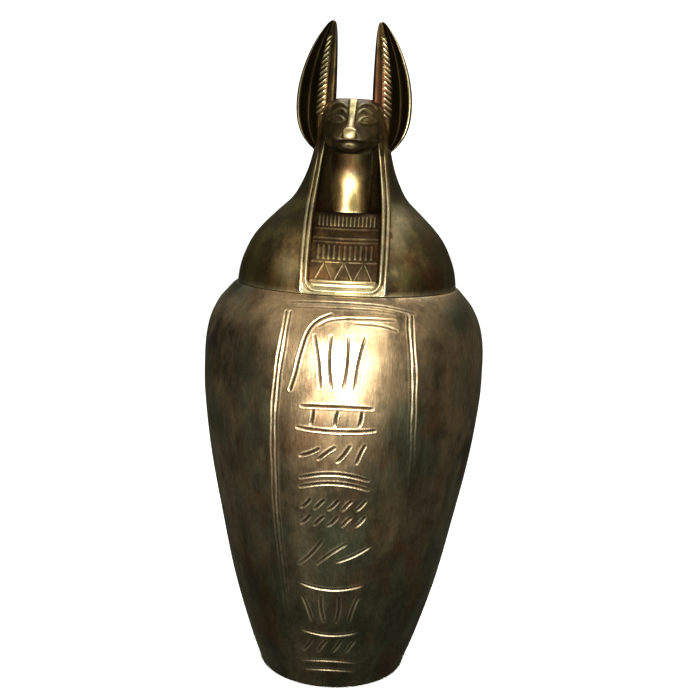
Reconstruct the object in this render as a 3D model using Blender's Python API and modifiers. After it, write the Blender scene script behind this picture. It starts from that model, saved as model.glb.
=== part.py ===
# A canopic jar of cast bronze: a tall vessel and a lid shaped as a jackal's head in its wig.
# Metres, +Z up. The origin is at the middle of the underside, and the face looks along -Y.

import math

import bmesh
import bpy
from mathutils import Vector

# Jar: height and radius of the outer wall, from the foot to the lid's ledge
WALL_STATIONS = (
    (0.0044, 0.0490),
    (0.0254, 0.0566),
    (0.0635, 0.0678),
    (0.1055, 0.0769),
    (0.1474, 0.0850),
    (0.1852, 0.0896),
    (0.2041, 0.0901),
    (0.2200, 0.0895),
    (0.2329, 0.0870),
    (0.2444, 0.0817),
    (0.2504, 0.0768),
    (0.2549, 0.0727),
)
STRAIGHT_WALL_TOP = 0.2041
STRAIGHT_WALL_RINGS = 8
WALL = 0.0055
FLOOR = 0.0075
FLOOR_RADIUS = 0.0387
FLOOR_EDGE = (0.0447, 0.0105)
FOOT_RADIUS = 0.0466
FOOT_EDGE = (0.0480, 0.0012)
LEDGE_HEIGHT = 0.2560
LEDGE_RADIUS = 0.0715
MOUTH_RADIUS = 0.0580
MOUTH_LIP = 0.0060
JAR_SIDES = 40
GAP = 0.0003

# Jar: the lines round the panel, as (height, distance from the middle)
LEFT_LINE = ((0.2465, -0.0290), (0.2050, -0.0334), (0.1480, -0.0332), (0.0940, -0.0283), (0.0350, -0.0209))
RIGHT_LINE = ((0.2465, 0.0368), (0.2050, 0.0422), (0.1480, 0.0436), (0.0940, 0.0386), (0.0350, 0.0298))
SIDE_LINE_HEIGHTS = (0.2465, 0.2400, 0.2320, 0.2220, 0.2080, 0.1880, 0.1600, 0.1200, 0.0780, 0.0350)
LINE_SPACING = 0.0031
TOP_LINE_HEIGHT = 0.2530
TOP_LINE_ENDS = (-0.0300, 0.0390)
TOP_LINE_POINTS = 9
LINE_RADIUS = 0.0010
STROKE_RADIUS = 0.0014

# Jar: rows of strokes in the panel: height, count, length, lean from upright, and turn from each to the next
COLUMN_MIDDLE = 0.0007
COLUMN_HALF = 0.0210
STROKE_ROWS = (
    (0.2207, 4, 0.0310, -10.0, 7.0),
    (0.1875, 3, 0.0083, 8.0, 0.0),
    (0.1661, 4, 0.0128, 64.0, -14.0),
    (0.1335, 5, 0.0084, 40.0, 0.0),
    (0.1228, 5, 0.0084, 40.0, 0.0),
    (0.1007, 3, 0.0258, 38.0, 12.0),
    (0.0615, 4, 0.0200, -20.0, 12.0),
    (0.0338, 4, 0.0110, 30.0, 0.0),
)
# Jar: the shallow arcs between the rows, with their height, half-width and rise
ARCS = (
    (0.1939, 0.0205, 0.0008),
    (0.1807, 0.0225, -0.0008),
    (0.1496, 0.0200, 0.0040),
    (0.1437, 0.0200, 0.0040),
    (0.0792, 0.0190, -0.0030),
    (0.0447, 0.0170, -0.0020),
    (0.0209, 0.0165, 0.0020),
    (0.0139, 0.0155, 0.0015),
)
ARC_POINTS = 5
STROKE_STEP = 0.0170
SWEEP = ((-0.0140, 0.2455), (-0.0210, 0.2415), (-0.0252, 0.2320), (-0.0276, 0.2200), (-0.0290, 0.2080))

# Lid: height, half-width at the side, reach in front and reach behind
WIG_STATIONS = (
    (LEDGE_HEIGHT + GAP, 0.0701, 0.0695, 0.0701),
    (0.2619, 0.0695, 0.0685, 0.0695),
    (0.2688, 0.0681, 0.0665, 0.0682),
    (0.2778, 0.0647, 0.0615, 0.0653),
    (0.2858, 0.0605, 0.0559, 0.0617),
    (0.2939, 0.0539, 0.0498, 0.0563),
    (0.3019, 0.0458, 0.0438, 0.0500),
    (0.3109, 0.0365, 0.0384, 0.0435),
    (0.3200, 0.0312, 0.0342, 0.0393),
    (0.3300, 0.0272, 0.0307, 0.0362),
    (0.3420, 0.0242, 0.0272, 0.0342),
    (0.3530, 0.0224, 0.0201, 0.0337),
    (0.3630, 0.0201, 0.0151, 0.0302),
    (0.3695, 0.0166, 0.0111, 0.0227),
    (0.3725, 0.0111, 0.0070, 0.0131),
)
WIG_SIDES = 38
SPIGOT_RADIUS = 0.0570
SPIGOT_BOTTOM = 0.2460
HOLLOW_STATIONS = (
    (0.2400, 0.0515, 0.0515, 0.0515),
    (0.2575, 0.0515, 0.0515, 0.0515),
    (0.2640, 0.0620, 0.0580, 0.0620),
    (0.2780, 0.0584, 0.0498, 0.0588),
    (0.2900, 0.0506, 0.0408, 0.0524),
    (0.3000, 0.0412, 0.0330, 0.0446),
    (0.3110, 0.0308, 0.0225, 0.0368),
    (0.3250, 0.0222, 0.0180, 0.0300),
    (0.3400, 0.0160, 0.0140, 0.0240),
    (0.3450, 0.0080, 0.0060, 0.0120),
)
HOLLOW_SIDES = 20

# Lid: the opening of the wig over the chest, and the chest's surface in it
OPENING_STATIONS = ((0.2600, 0.0209), (0.2870, 0.0211), (0.3106, 0.0203), (0.3470, 0.0165))
OPENING_CORNER = 0.0050
OPENING_DEPTH = (-0.0850, -0.0010)
SIDE_POINTS = 6
CORNER_POINTS = 4
CHEST_STATIONS = (
    (0.2500, 0.0708),
    (0.2590, 0.0670),
    (0.2650, 0.0644),
    (0.2750, 0.0582),
    (0.2880, 0.0488),
    (0.2935, 0.0446),
    (0.3025, 0.0378),
    (0.3038, 0.0318),
    (0.3130, 0.0274),
    (0.3280, 0.0235),
    (0.3480, 0.0220),
)
BAND_RADIUS = 0.0012
BAND_OFFSETS = (0.0008, 0.0036)
BAND_TOP = 0.3410
BAND_FOOT = 0.2575
THROAT_SIDES = 24
THROAT_RADIUS = 0.0140
THROAT_FRONT = 0.0384
THROAT_BOTTOM = 0.3032
THROAT_TOP = 0.3500

# Lid: the collar's rows
COLLAR_LINES = (0.2938, 0.2909, 0.2876, 0.2853, 0.2750, 0.2645)
COLLAR_GROOVE = 0.0008
COLLAR_HALF = 0.0195
COLLAR_POINTS = 7
CHEST_STEP = 0.0300
BEAD_ROWS = ((0.3020, 0.2950), (0.2843, 0.2762))
BEADS_HALF = 0.0180
BEAD_COUNT = 8
PEAK_COUNT = 3
PEAKS_HALF = 0.0170
PEAK_TOP = 0.2733
PEAK_FOOT = 0.2660
PEAK_GAP = 0.0010

# Head, from the tip of the muzzle back: reach, half-width, top, bottom, squareness and pinch of the section
HEAD_STATIONS = (
    (-0.0548, 0.0040, 0.3503, 0.3435, 2.3, 0.10),
    (-0.0530, 0.0066, 0.3522, 0.3413, 2.4, 0.30),
    (-0.0485, 0.0080, 0.3533, 0.3401, 2.4, 0.55),
    (-0.0410, 0.0090, 0.3554, 0.3392, 2.3, 0.66),
    (-0.0320, 0.0108, 0.3593, 0.3387, 2.2, 0.64),
    (-0.0240, 0.0142, 0.3645, 0.3383, 2.3, 0.42),
    (-0.0175, 0.0178, 0.3692, 0.3379, 2.7, 0.15),
    (-0.0120, 0.0191, 0.3714, 0.3381, 3.2, 0.0),
    (-0.0040, 0.0191, 0.3725, 0.3392, 3.4, 0.0),
    (0.0100, 0.0177, 0.3700, 0.3430, 2.8, 0.0),
)
HEAD_SIDES = 20
FACE_STEPS = 200
NOSE = (0.0, -0.0538, 0.3501)
NOSE_RADII = (0.0048, 0.0026, 0.0028)
BRIDGE_RADIUS = 0.0015
BRIDGE_RISE = 0.0009
BRIDGE_WIDTHS = (1.9, 1.7, 1.3, 1.0, 0.9, 1.0, 1.4)
MOUTH_LINE = ((-0.0078, 0.3441), (-0.0040, 0.3457), (0.0, 0.3462), (0.0040, 0.3457), (0.0078, 0.3441))
MOUTH_GROOVE = 0.0006
EYE_PLACE = (0.0104, 0.3584)
EYE_RADII = (0.0040, 0.0020, 0.0020)
LID_LINE = ((0.0032, 0.3602), (0.0055, 0.3628), (0.0083, 0.3636), (0.0112, 0.3626), (0.0138, 0.3598))
BROW_LINE = ((0.0034, 0.3652), (0.0058, 0.3670), (0.0088, 0.3676), (0.0120, 0.3666), (0.0148, 0.3640))
FACE_LINE_RADIUS = 0.0009

# Ear: height, inner edge, outer edge, front and depth
EAR_STATIONS = (
    (0.3405, 0.0166, 0.0246, -0.0030, 0.0060),
    (0.3440, 0.0149, 0.0282, -0.0055, 0.0110),
    (0.3500, 0.0135, 0.0325, -0.0075, 0.0150),
    (0.3580, 0.0124, 0.0353, -0.0085, 0.0175),
    (0.3680, 0.0114, 0.0362, -0.0085, 0.0180),
    (0.3780, 0.0112, 0.0355, -0.0080, 0.0170),
    (0.3880, 0.0113, 0.0334, -0.0070, 0.0150),
    (0.3980, 0.0115, 0.0300, -0.0058, 0.0125),
    (0.4070, 0.0118, 0.0258, -0.0045, 0.0095),
    (0.4140, 0.0123, 0.0214, -0.0032, 0.0065),
    (0.4185, 0.0133, 0.0173, -0.0020, 0.0035),
)
EAR_TIP = (0.0151, 0.0000, 0.4200)
TIP_SHARE = 0.3
# Ear: its section, from the inner edge round the back to the outer rim, then through the cup
EAR_SECTION = (
    (0.00, 0.25),
    (0.06, 0.62),
    (0.25, 0.92),
    (0.50, 1.00),
    (0.76, 0.90),
    (0.94, 0.62),
    (1.00, 0.32),
    (0.93, 0.00),
    (0.87, 0.08),
    (0.81, 0.52),
    (0.68, 0.74),
    (0.55, 0.66),
    (0.45, 0.44),
    (0.22, 0.08),
    (0.07, 0.00),
)
RIDGE_COUNT = 10
RIDGE_BOTTOM = 0.3640
RIDGE_TOP = 0.4070
RIDGE_DROP = 0.0055
RIDGE_START = (0.20, 0.06)
RIDGE_END = (0.47, 0.48)
RIDGE_RADIUS = 0.0011

# Share of a bar's width left at its ends, the sides of a ball, the sharpest smooth edge, and the two bronzes
END_WIDTH = 0.55
BALL_SIDES = 10
SHARP_ANGLE = math.radians(40)
WELD = 0.00001
JAR_COLOUR = (0.38, 0.30, 0.17)
JAR_ROUGHNESS = 0.38
LID_COLOUR = (0.22, 0.16, 0.08)
LID_ROUGHNESS = 0.30


def clear_scene():
    for obj in list(bpy.data.objects):
        bpy.data.objects.remove(obj, do_unlink=True)


def collection(name):
    group = bpy.data.collections.new(name)
    bpy.context.scene.collection.children.link(group)
    return group


def bronze(name, colour, roughness):
    material = bpy.data.materials.new(name)
    material.use_nodes = True
    shader = material.node_tree.nodes["Principled BSDF"]
    shader.inputs["Base Color"].default_value = (*colour, 1.0)
    shader.inputs["Metallic"].default_value = 1.0
    shader.inputs["Roughness"].default_value = roughness
    return material


def part(name, mesh, group, material):
    """A sub-part of the object, shaded smooth with its sharp edges kept."""
    mesh.materials.append(material)
    mesh.shade_smooth()
    mesh.set_sharp_from_angle(angle=SHARP_ANGLE)
    obj = bpy.data.objects.new(name, mesh)
    group.objects.link(obj)
    return obj


def helper(name, mesh, group):
    """A shape that cuts another or is joined into it, and isn't part of the object itself."""
    mesh.shade_smooth()
    obj = bpy.data.objects.new(name, mesh)
    obj.hide_render = True
    obj.display_type = "WIRE"
    group.objects.link(obj)
    return obj


def evened(obj):
    """Shading by face size, so that small cuts don't darken the large faces beside them."""
    shading = obj.modifiers.new("even shading", "WEIGHTED_NORMAL")
    shading.keep_sharp = True


def combine(target, other, operation):
    modifier = target.modifiers.new(f"{operation.lower()} {other.name}", "BOOLEAN")
    modifier.operation = operation
    modifier.object = other


def along(stations, place, column=1):
    """A value at a place on the smooth curve through rows of (place, value, ...)."""
    places = [row[0] for row in stations]
    values = [row[column] for row in stations]
    rising = places[-1] > places[0]
    last = len(places) - 2
    k = 0
    while k < last and (place > places[k + 1]) == rising:
        k += 1
    span = places[k + 1] - places[k]

    def slope(i):
        before, after = max(i - 1, 0), min(i + 1, len(places) - 1)
        return (values[after] - values[before]) / (places[after] - places[before])

    t = min(max((place - places[k]) / span, 0.0), 1.0)
    start, end = slope(k) * span, slope(k + 1) * span
    return (
        (2 * t**3 - 3 * t**2 + 1) * values[k]
        + (t**3 - 2 * t**2 + t) * start
        + (3 * t**2 - 2 * t**3) * values[k + 1]
        + (t**3 - t**2) * end
    )


def spread(first, last, count):
    """Evenly spaced values from first to last."""
    return [first + (last - first) * i / (count - 1) for i in range(count)]


def turned(name, outline, steps):
    """A solid turned round Z, from (radius, height) points that run down its outer side."""
    mesh = bpy.data.meshes.new(name)
    points = [(radius, 0.0, height) for radius, height in outline]
    edges = [(i, i + 1) for i in range(len(points) - 1)]
    mesh.from_pydata(points, edges, [])
    obj = bpy.data.objects.new(name, mesh)
    bpy.context.scene.collection.objects.link(obj)
    screw = obj.modifiers.new("turn", "SCREW")
    screw.steps = steps
    screw.render_steps = steps
    screw.use_merge_vertices = True
    screw.merge_threshold = WELD
    return baked(name, obj)


def baked(name, obj):
    """The evaluated mesh of an object, with its doubles welded, in place of the object."""
    graph = bpy.context.evaluated_depsgraph_get()
    mesh = bpy.data.meshes.new_from_object(obj.evaluated_get(graph))
    mesh.name = name
    bpy.data.objects.remove(obj, do_unlink=True)
    shape = bmesh.new()
    shape.from_mesh(mesh)
    bmesh.ops.remove_doubles(shape, verts=shape.verts, dist=WELD)
    shape.to_mesh(mesh)
    shape.free()
    return mesh


def lofted(name, rings):
    """A closed solid through rings of points, with a flat end on each."""
    shape = bmesh.new()
    loops = [[shape.verts.new(point) for point in ring] for ring in rings]
    for lower, upper in zip(loops, loops[1:]):
        for i in range(len(lower)):
            j = (i + 1) % len(lower)
            shape.faces.new((lower[i], lower[j], upper[j], upper[i]))
    shape.faces.new(loops[0])
    shape.faces.new(loops[-1])
    bmesh.ops.recalc_face_normals(shape, faces=shape.faces)
    mesh = bpy.data.meshes.new(name)
    shape.to_mesh(mesh)
    shape.free()
    return mesh


def tubes(name, paths, radius, widths=None, roundness=0):
    """One mesh of closed bars along paths, slimmer at both ends unless their widths are given."""
    curve = bpy.data.curves.new(name, "CURVE")
    curve.dimensions = "3D"
    curve.bevel_depth = radius
    curve.bevel_resolution = roundness
    curve.use_fill_caps = True
    for path in paths:
        spline = curve.splines.new("POLY")
        spline.points.add(len(path) - 1)
        slim_ends = [END_WIDTH] + [1.0] * (len(path) - 2) + [END_WIDTH]
        for point, place, width in zip(spline.points, path, widths or slim_ends):
            point.co = (*place, 1.0)
            point.radius = width
    obj = bpy.data.objects.new(name, curve)
    bpy.context.scene.collection.objects.link(obj)
    return baked(name, obj)


def ball(name, centre, radii):
    """An ellipsoid with its radii along the three axes."""
    shape = bmesh.new()
    bmesh.ops.create_uvsphere(shape, u_segments=BALL_SIDES, v_segments=BALL_SIDES - 4, radius=1.0)
    bmesh.ops.scale(shape, vec=radii, verts=shape.verts)
    bmesh.ops.translate(shape, vec=centre, verts=shape.verts)
    mesh = bpy.data.meshes.new(name)
    shape.to_mesh(mesh)
    shape.free()
    return mesh


def post(name, radius, sides, place, low, high):
    """An upright round post between two heights, at a place along Y."""
    shape = bmesh.new()
    bmesh.ops.create_cone(
        shape, cap_ends=True, segments=sides, radius1=radius, radius2=radius, depth=high - low
    )
    bmesh.ops.translate(shape, vec=(0.0, place, (low + high) / 2), verts=shape.verts)
    mesh = bpy.data.meshes.new(name)
    shape.to_mesh(mesh)
    shape.free()
    return mesh


def stepped(path, spacing):
    """The points of a path with more between them, none further apart than the spacing."""
    points = [Vector(path[0])]
    for start, end in zip(path, path[1:]):
        start, end = Vector(start), Vector(end)
        pieces = max(1, math.ceil((end - start).length / spacing))
        points += [start.lerp(end, i / pieces) for i in range(1, pieces + 1)]
    return points


def on_wall(x, height):
    """The point of the jar's outer wall in front, at a distance from the middle and a height."""
    radius = along(WALL_STATIONS, height)
    return (x, -math.sqrt(radius**2 - x**2), height)


def on_chest(x, height):
    radius = along(CHEST_STATIONS, height)
    return (x, -math.sqrt(radius**2 - x**2), height)


def on_wig(x, height):
    side = along(WIG_STATIONS, height, 1)
    front = along(WIG_STATIONS, height, 2)
    return (x, -front * math.sqrt(1 - (x / side) ** 2), height)


def drawn(surface, path, spacing):
    """A path of (x, height) laid on a surface."""
    flat = stepped([(x, 0.0, height) for x, height in path], spacing)
    return [surface(point.x, point.z) for point in flat]


def jar_outline():
    """(radius, height) from the middle of the floor, up inside, over the ledge and down the wall."""
    foot_height = WALL_STATIONS[0][0]
    heights = spread(foot_height, STRAIGHT_WALL_TOP, STRAIGHT_WALL_RINGS)
    heights += [height for height, _ in WALL_STATIONS if height > STRAIGHT_WALL_TOP]
    wall = [(along(WALL_STATIONS, height), height) for height in heights]
    inside = []
    for (low_r, low_z), (high_r, high_z) in zip(wall, wall[2:]):
        across = Vector((high_z - low_z, low_r - high_r)).normalized() * WALL
        middle = Vector(((low_r + high_r) / 2, (low_z + high_z) / 2))
        inside.append(tuple(middle - across))
    floor = [(0.0, FLOOR), (FLOOR_RADIUS, FLOOR), FLOOR_EDGE]
    mouth = [(MOUTH_RADIUS, LEDGE_HEIGHT - MOUTH_LIP), (MOUTH_RADIUS, LEDGE_HEIGHT)]
    ledge = [(LEDGE_RADIUS, LEDGE_HEIGHT)]
    foot = [FOOT_EDGE, (FOOT_RADIUS, 0.0), (0.0, 0.0)]
    return floor + inside[::2] + mouth + ledge + wall[::-1] + foot


def panel_lines():
    """The paths of the lines round the panel: a pair down each side and a pair across the top."""
    paths = []
    for line in (LEFT_LINE, RIGHT_LINE):
        outward = math.copysign(LINE_SPACING, line[0][1])
        for offset in (0.0, outward):
            paths.append([on_wall(along(line, height) + offset, height) for height in SIDE_LINE_HEIGHTS])
    for drop in (0.0, LINE_SPACING):
        paths.append([on_wall(x, TOP_LINE_HEIGHT - drop) for x in spread(*TOP_LINE_ENDS, TOP_LINE_POINTS)])
    return paths


def stroke(x, height, length, lean):
    """A straight stroke round its middle, with its lean from upright in degrees."""
    reach = Vector((math.sin(math.radians(lean)), math.cos(math.radians(lean)))) * length / 2
    middle = Vector((COLUMN_MIDDLE + x, height))
    return [tuple(middle - reach), tuple(middle + reach)]


def stroke_row(height, count, length, lean, turn):
    """Strokes side by side across the column, each turned a little more than the last."""
    spacing = 2 * COLUMN_HALF / count
    return [
        stroke(-COLUMN_HALF + spacing * (i + 0.5), height, length, lean + turn * i) for i in range(count)
    ]


def arc(height, half, rise):
    """A long shallow arc across the column."""
    return [(COLUMN_MIDDLE + half * t, height + rise * (1 - t * t)) for t in spread(-1.0, 1.0, ARC_POINTS)]


def column_strokes():
    """Rows of plain strokes down the panel, the arcs between them, and one long stroke beside the top row."""
    paths = [SWEEP] + [arc(*place) for place in ARCS]
    for place in STROKE_ROWS:
        paths += stroke_row(*place)
    return [drawn(on_wall, path, STROKE_STEP) for path in paths]


def build_jar(parts, helpers):
    mesh = turned("jar", jar_outline(), JAR_SIDES)
    jar = part("jar", mesh, parts, bronze("jar bronze", JAR_COLOUR, JAR_ROUGHNESS))
    lines = helper("panel line cutter", tubes("panel lines", panel_lines(), LINE_RADIUS), helpers)
    strokes = helper("stroke cutter", tubes("strokes", column_strokes(), STROKE_RADIUS), helpers)
    combine(jar, lines, "DIFFERENCE")
    combine(jar, strokes, "DIFFERENCE")
    evened(jar)


def wig_ring(height, side, front, back, count):
    """Two half ellipses, one in front and one behind, that meet at the sides."""
    ring = []
    for i in range(count):
        angle = math.tau * i / count
        reach = front if math.cos(angle) > 0 else back
        ring.append((side * math.sin(angle), -reach * math.cos(angle), height))
    return ring


def opening_outline(offset, top):
    """(x, height) down the right side of the opening, round its corners and up the left side."""
    bottom = OPENING_STATIONS[0][0]
    corner_x = OPENING_STATIONS[0][1] - OPENING_CORNER
    corner_z = bottom + OPENING_CORNER
    reach = OPENING_CORNER + offset
    heights = spread(top, corner_z, SIDE_POINTS)
    side = [(along(OPENING_STATIONS, height) + offset, height) for height in heights]
    turns = spread(math.radians(90 / CORNER_POINTS), math.radians(90), CORNER_POINTS)
    corner = [(corner_x + reach * math.cos(turn), corner_z - reach * math.sin(turn)) for turn in turns]
    right = side + corner + [(corner_x / 3, bottom - offset)]
    return right + [(-x, height) for x, height in reversed(right)]


def opening_cutter():
    """A block as wide as the opening, which the chest's own solid is taken out of afterwards."""
    outline = opening_outline(0.0, OPENING_STATIONS[-1][0])
    return lofted("opening", [[(x, y, height) for x, height in outline] for y in OPENING_DEPTH])


def band_paths():
    """The inner band runs round the opening, and an outer one runs down each side to the rim."""
    inner, outer = BAND_OFFSETS
    paths = [opening_outline(inner, BAND_TOP)]
    for side in (-1, 1):
        heights = spread(BAND_TOP, BAND_FOOT, SIDE_POINTS + 1)
        paths.append([(side * (along(OPENING_STATIONS, height) + outer), height) for height in heights])
    return [[on_wig(x, height) for x, height in path] for path in paths]


def collar_paths():
    """The rows on the chest: cross lines, upright bead strokes and a row of peaks."""
    paths = []
    for height in COLLAR_LINES:
        paths.append([(x, height) for x in spread(-COLLAR_HALF, COLLAR_HALF, COLLAR_POINTS)])
    for top, bottom in BEAD_ROWS:
        paths += [[(x, top), (x, bottom)] for x in spread(-BEADS_HALF, BEADS_HALF, BEAD_COUNT)]
    spacing = 2 * PEAKS_HALF / PEAK_COUNT
    for i in range(PEAK_COUNT):
        middle = spacing * (i + 0.5) - PEAKS_HALF
        for side in (-1, 1):
            foot = (middle + side * (spacing / 2 - PEAK_GAP), PEAK_FOOT)
            paths.append([foot, (middle + side * PEAK_GAP, PEAK_TOP)])
    return [drawn(on_chest, path, CHEST_STEP) for path in paths]


def head_ring(y, half, top, bottom, squareness, pinch):
    """A section of the head: a rounded block whose upper half is pinched towards the bridge of the muzzle."""
    middle, rise = (top + bottom) / 2, (top - bottom) / 2
    ring = []
    for i in range(HEAD_SIDES):
        angle = math.tau * i / HEAD_SIDES
        across, up = math.sin(angle), math.cos(angle)
        share = math.copysign(abs(up) ** (2 / squareness), up)
        x = half * math.copysign(abs(across) ** (2 / squareness), across) * (1 - pinch * max(share, 0.0))
        ring.append((x, y, middle + rise * share))
    return ring


def head_half(y, height):
    """The head's half-width at a reach and a height, or less than nothing outside it."""
    half, top, bottom, squareness, pinch = (along(HEAD_STATIONS, y, column) for column in range(1, 6))
    share = (2 * height - top - bottom) / (top - bottom)
    if abs(share) >= 1:
        return -1.0
    return half * (1 - abs(share) ** squareness) ** (1 / squareness) * (1 - pinch * max(share, 0.0))


def on_face(x, height):
    """The foremost point of the head at a distance from the middle and a height."""
    reaches = spread(HEAD_STATIONS[0][0], 0.0, FACE_STEPS)
    reach = next((y for y in reaches if head_half(y, height) >= abs(x)), 0.0)
    return (x, reach, height)


def ear_point(height, u, v):
    inner, outer, front, depth = (along(EAR_STATIONS, height, column) for column in (1, 2, 3, 4))
    return (inner + (outer - inner) * u, front + depth * v, height)


def ear_mesh(side):
    rings = [[ear_point(row[0], u, v) for u, v in EAR_SECTION] for row in EAR_STATIONS]
    tip_x, tip_y, tip_z = EAR_TIP
    tip = [(tip_x + (x - tip_x) * TIP_SHARE, tip_y + (y - tip_y) * TIP_SHARE, tip_z) for x, y, _ in rings[-1]]
    rings.append(tip)
    return lofted("ear", [[(side * x, y, z) for x, y, z in ring] for ring in rings])


def ear_ridges(side):
    """Slanted ridges on the inner wall of the ear's cup."""
    paths = []
    for height in spread(RIDGE_BOTTOM, RIDGE_TOP, RIDGE_COUNT):
        upper = ear_point(height, *RIDGE_START)
        lower = ear_point(height - RIDGE_DROP, *RIDGE_END)
        paths.append([(side * x, y, z) for x, y, z in (upper, lower)])
    return tubes("ear ridges", paths, RIDGE_RADIUS)


def bridge_path():
    """Along the top of the muzzle, from the crown, where it starts flush, to the nose."""
    reaches = spread(HEAD_STATIONS[-3][0], HEAD_STATIONS[1][0], len(BRIDGE_WIDTHS))
    path = []
    for reach, width in zip(reaches, BRIDGE_WIDTHS):
        rise = BRIDGE_RISE if path else 0.0
        path.append((0.0, reach, along(HEAD_STATIONS, reach, 2) + rise - BRIDGE_RADIUS * width))
    return path


def mirrored(line):
    return [(-x, height) for x, height in line]


def face_paths():
    """The brows and upper lids of both eyes."""
    lines = [LID_LINE, BROW_LINE, mirrored(LID_LINE), mirrored(BROW_LINE)]
    return [[on_face(x, height) for x, height in line] for line in lines]


def build_head(lid, helpers):
    shapes = {
        "head": lofted("head", [head_ring(*row) for row in HEAD_STATIONS]),
        "bridge": tubes("bridge", [bridge_path()], BRIDGE_RADIUS, BRIDGE_WIDTHS, 1),
        "nose": ball("nose", NOSE, NOSE_RADII),
        "brows": tubes("brows", face_paths(), FACE_LINE_RADIUS),
    }
    for side, name in ((-1, "left"), (1, "right")):
        eye = on_face(side * EYE_PLACE[0], EYE_PLACE[1])
        shapes[f"{name} eye"] = ball("eye", eye, EYE_RADII)
        shapes[f"{name} ear"] = ear_mesh(side)
        shapes[f"{name} ear ridges"] = ear_ridges(side)
    for name, mesh in shapes.items():
        combine(lid, helper(name, mesh, helpers), "UNION")
    mouth = [on_face(x, height) for x, height in MOUTH_LINE]
    combine(lid, helper("mouth cutter", tubes("mouth", [mouth], MOUTH_GROOVE), helpers), "DIFFERENCE")


def build_lid(parts, helpers):
    wig = lofted("lid", [wig_ring(*row, WIG_SIDES) for row in WIG_STATIONS])
    lid = part("lid", wig, parts, bronze("lid bronze", LID_COLOUR, LID_ROUGHNESS))

    chest_outline = [(0.0, CHEST_STATIONS[-1][0])]
    chest_outline += [(radius, height) for height, radius in reversed(CHEST_STATIONS)]
    chest_outline += [(0.0, CHEST_STATIONS[0][0])]
    chest = helper("chest core", turned("chest", chest_outline, WIG_SIDES), helpers)
    opening = helper("opening cutter", opening_cutter(), helpers)
    combine(opening, chest, "DIFFERENCE")
    combine(lid, opening, "DIFFERENCE")

    throat_place = THROAT_RADIUS - THROAT_FRONT
    throat = post("throat", THROAT_RADIUS, THROAT_SIDES, throat_place, THROAT_BOTTOM, THROAT_TOP)
    spigot = post("spigot", SPIGOT_RADIUS, WIG_SIDES, 0.0, SPIGOT_BOTTOM, WIG_STATIONS[1][0])
    bands = tubes("bands", band_paths(), BAND_RADIUS)
    for name, mesh in (("throat", throat), ("spigot", spigot), ("bands", bands)):
        combine(lid, helper(name, mesh, helpers), "UNION")
    build_head(lid, helpers)
    collar = tubes("collar", collar_paths(), COLLAR_GROOVE)
    combine(lid, helper("collar cutter", collar, helpers), "DIFFERENCE")

    hollow = lofted("hollow", [wig_ring(*row, HOLLOW_SIDES) for row in HOLLOW_STATIONS])
    combine(lid, helper("hollow cutter", hollow, helpers), "DIFFERENCE")
    evened(lid)


def main():
    clear_scene()
    parts = collection("canopic jar")
    helpers = collection("shaping solids")
    build_jar(parts, helpers)
    build_lid(parts, helpers)


main()
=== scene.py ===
# %% [markdown]
# # A canopic jar of cast bronze
# The jar is a tall vessel with a panel of shallow strokes, and its lid is a jackal's head in its wig.
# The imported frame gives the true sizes. Everything here is modelled in metres in that same frame, with
# the underside at height 0 and the face looking along -Y.

import math

import bmesh
import bpy
import numpy as np
from mathutils import Matrix, Vector
from mathutils.bvhtree import BVHTree


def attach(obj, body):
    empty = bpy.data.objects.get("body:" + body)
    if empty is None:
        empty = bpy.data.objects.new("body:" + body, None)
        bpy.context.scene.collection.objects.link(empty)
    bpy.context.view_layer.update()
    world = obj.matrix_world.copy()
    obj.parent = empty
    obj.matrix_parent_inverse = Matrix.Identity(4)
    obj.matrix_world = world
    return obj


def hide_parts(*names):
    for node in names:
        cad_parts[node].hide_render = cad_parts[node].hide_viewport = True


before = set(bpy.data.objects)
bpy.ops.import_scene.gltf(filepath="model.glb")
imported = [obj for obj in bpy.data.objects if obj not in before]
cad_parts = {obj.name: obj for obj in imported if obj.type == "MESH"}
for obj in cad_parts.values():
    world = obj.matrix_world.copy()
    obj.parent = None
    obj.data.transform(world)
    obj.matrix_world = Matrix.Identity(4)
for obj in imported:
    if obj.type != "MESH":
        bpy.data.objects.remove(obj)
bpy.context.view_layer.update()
print("nodes:", sorted(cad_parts))

# %% [markdown]
# The camera comes first, because all the rest is seen through it. It stands a little to the right of
# the jar's middle, not much higher than the lid's rim, and looks slightly down, so the rim is a flat
# curve while the base is a deep one. Two turns and a small roll are enough to place it.

# %% The camera
CAMERA_DISTANCE = 0.6894
CAMERA_HEIGHT = 0.3311
CAMERA_TURN = math.radians(2.3)
CAMERA_DIP = math.radians(9.758)
CAMERA_ROLL = math.radians(2.4)
CAMERA_LENS = 55.07
CAMERA_SHIFT = 0.0084


def place_camera():
    """A camera that circles the Z axis, dips towards the jar and rolls a little."""
    data = bpy.data.cameras.new("camera")
    data.lens = CAMERA_LENS
    data.shift_x = CAMERA_SHIFT
    camera = bpy.data.objects.new("camera", data)
    bpy.context.scene.collection.objects.link(camera)
    place = (
        CAMERA_DISTANCE * math.sin(CAMERA_TURN),
        -CAMERA_DISTANCE * math.cos(CAMERA_TURN),
        CAMERA_HEIGHT,
    )
    turns = Matrix.Rotation(CAMERA_TURN, 4, "Z")
    turns @= Matrix.Rotation(math.pi / 2 - CAMERA_DIP, 4, "X")
    turns @= Matrix.Rotation(CAMERA_ROLL, 4, "Z")
    camera.matrix_world = Matrix.Translation(place) @ turns
    bpy.context.scene.camera = camera
    return camera


camera = place_camera()
print("camera at", [round(value, 3) for value in camera.matrix_world.translation])

# %% [markdown]
# The photograph is contrasty, with a blown highlight and a white ground. Blender's Standard view shows
# colours as they are, so white stays white, where the default view would grey it.

# %% The view
bpy.context.scene.view_settings.view_transform = "Standard"
print("view:", bpy.context.scene.view_settings.view_transform)

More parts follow.
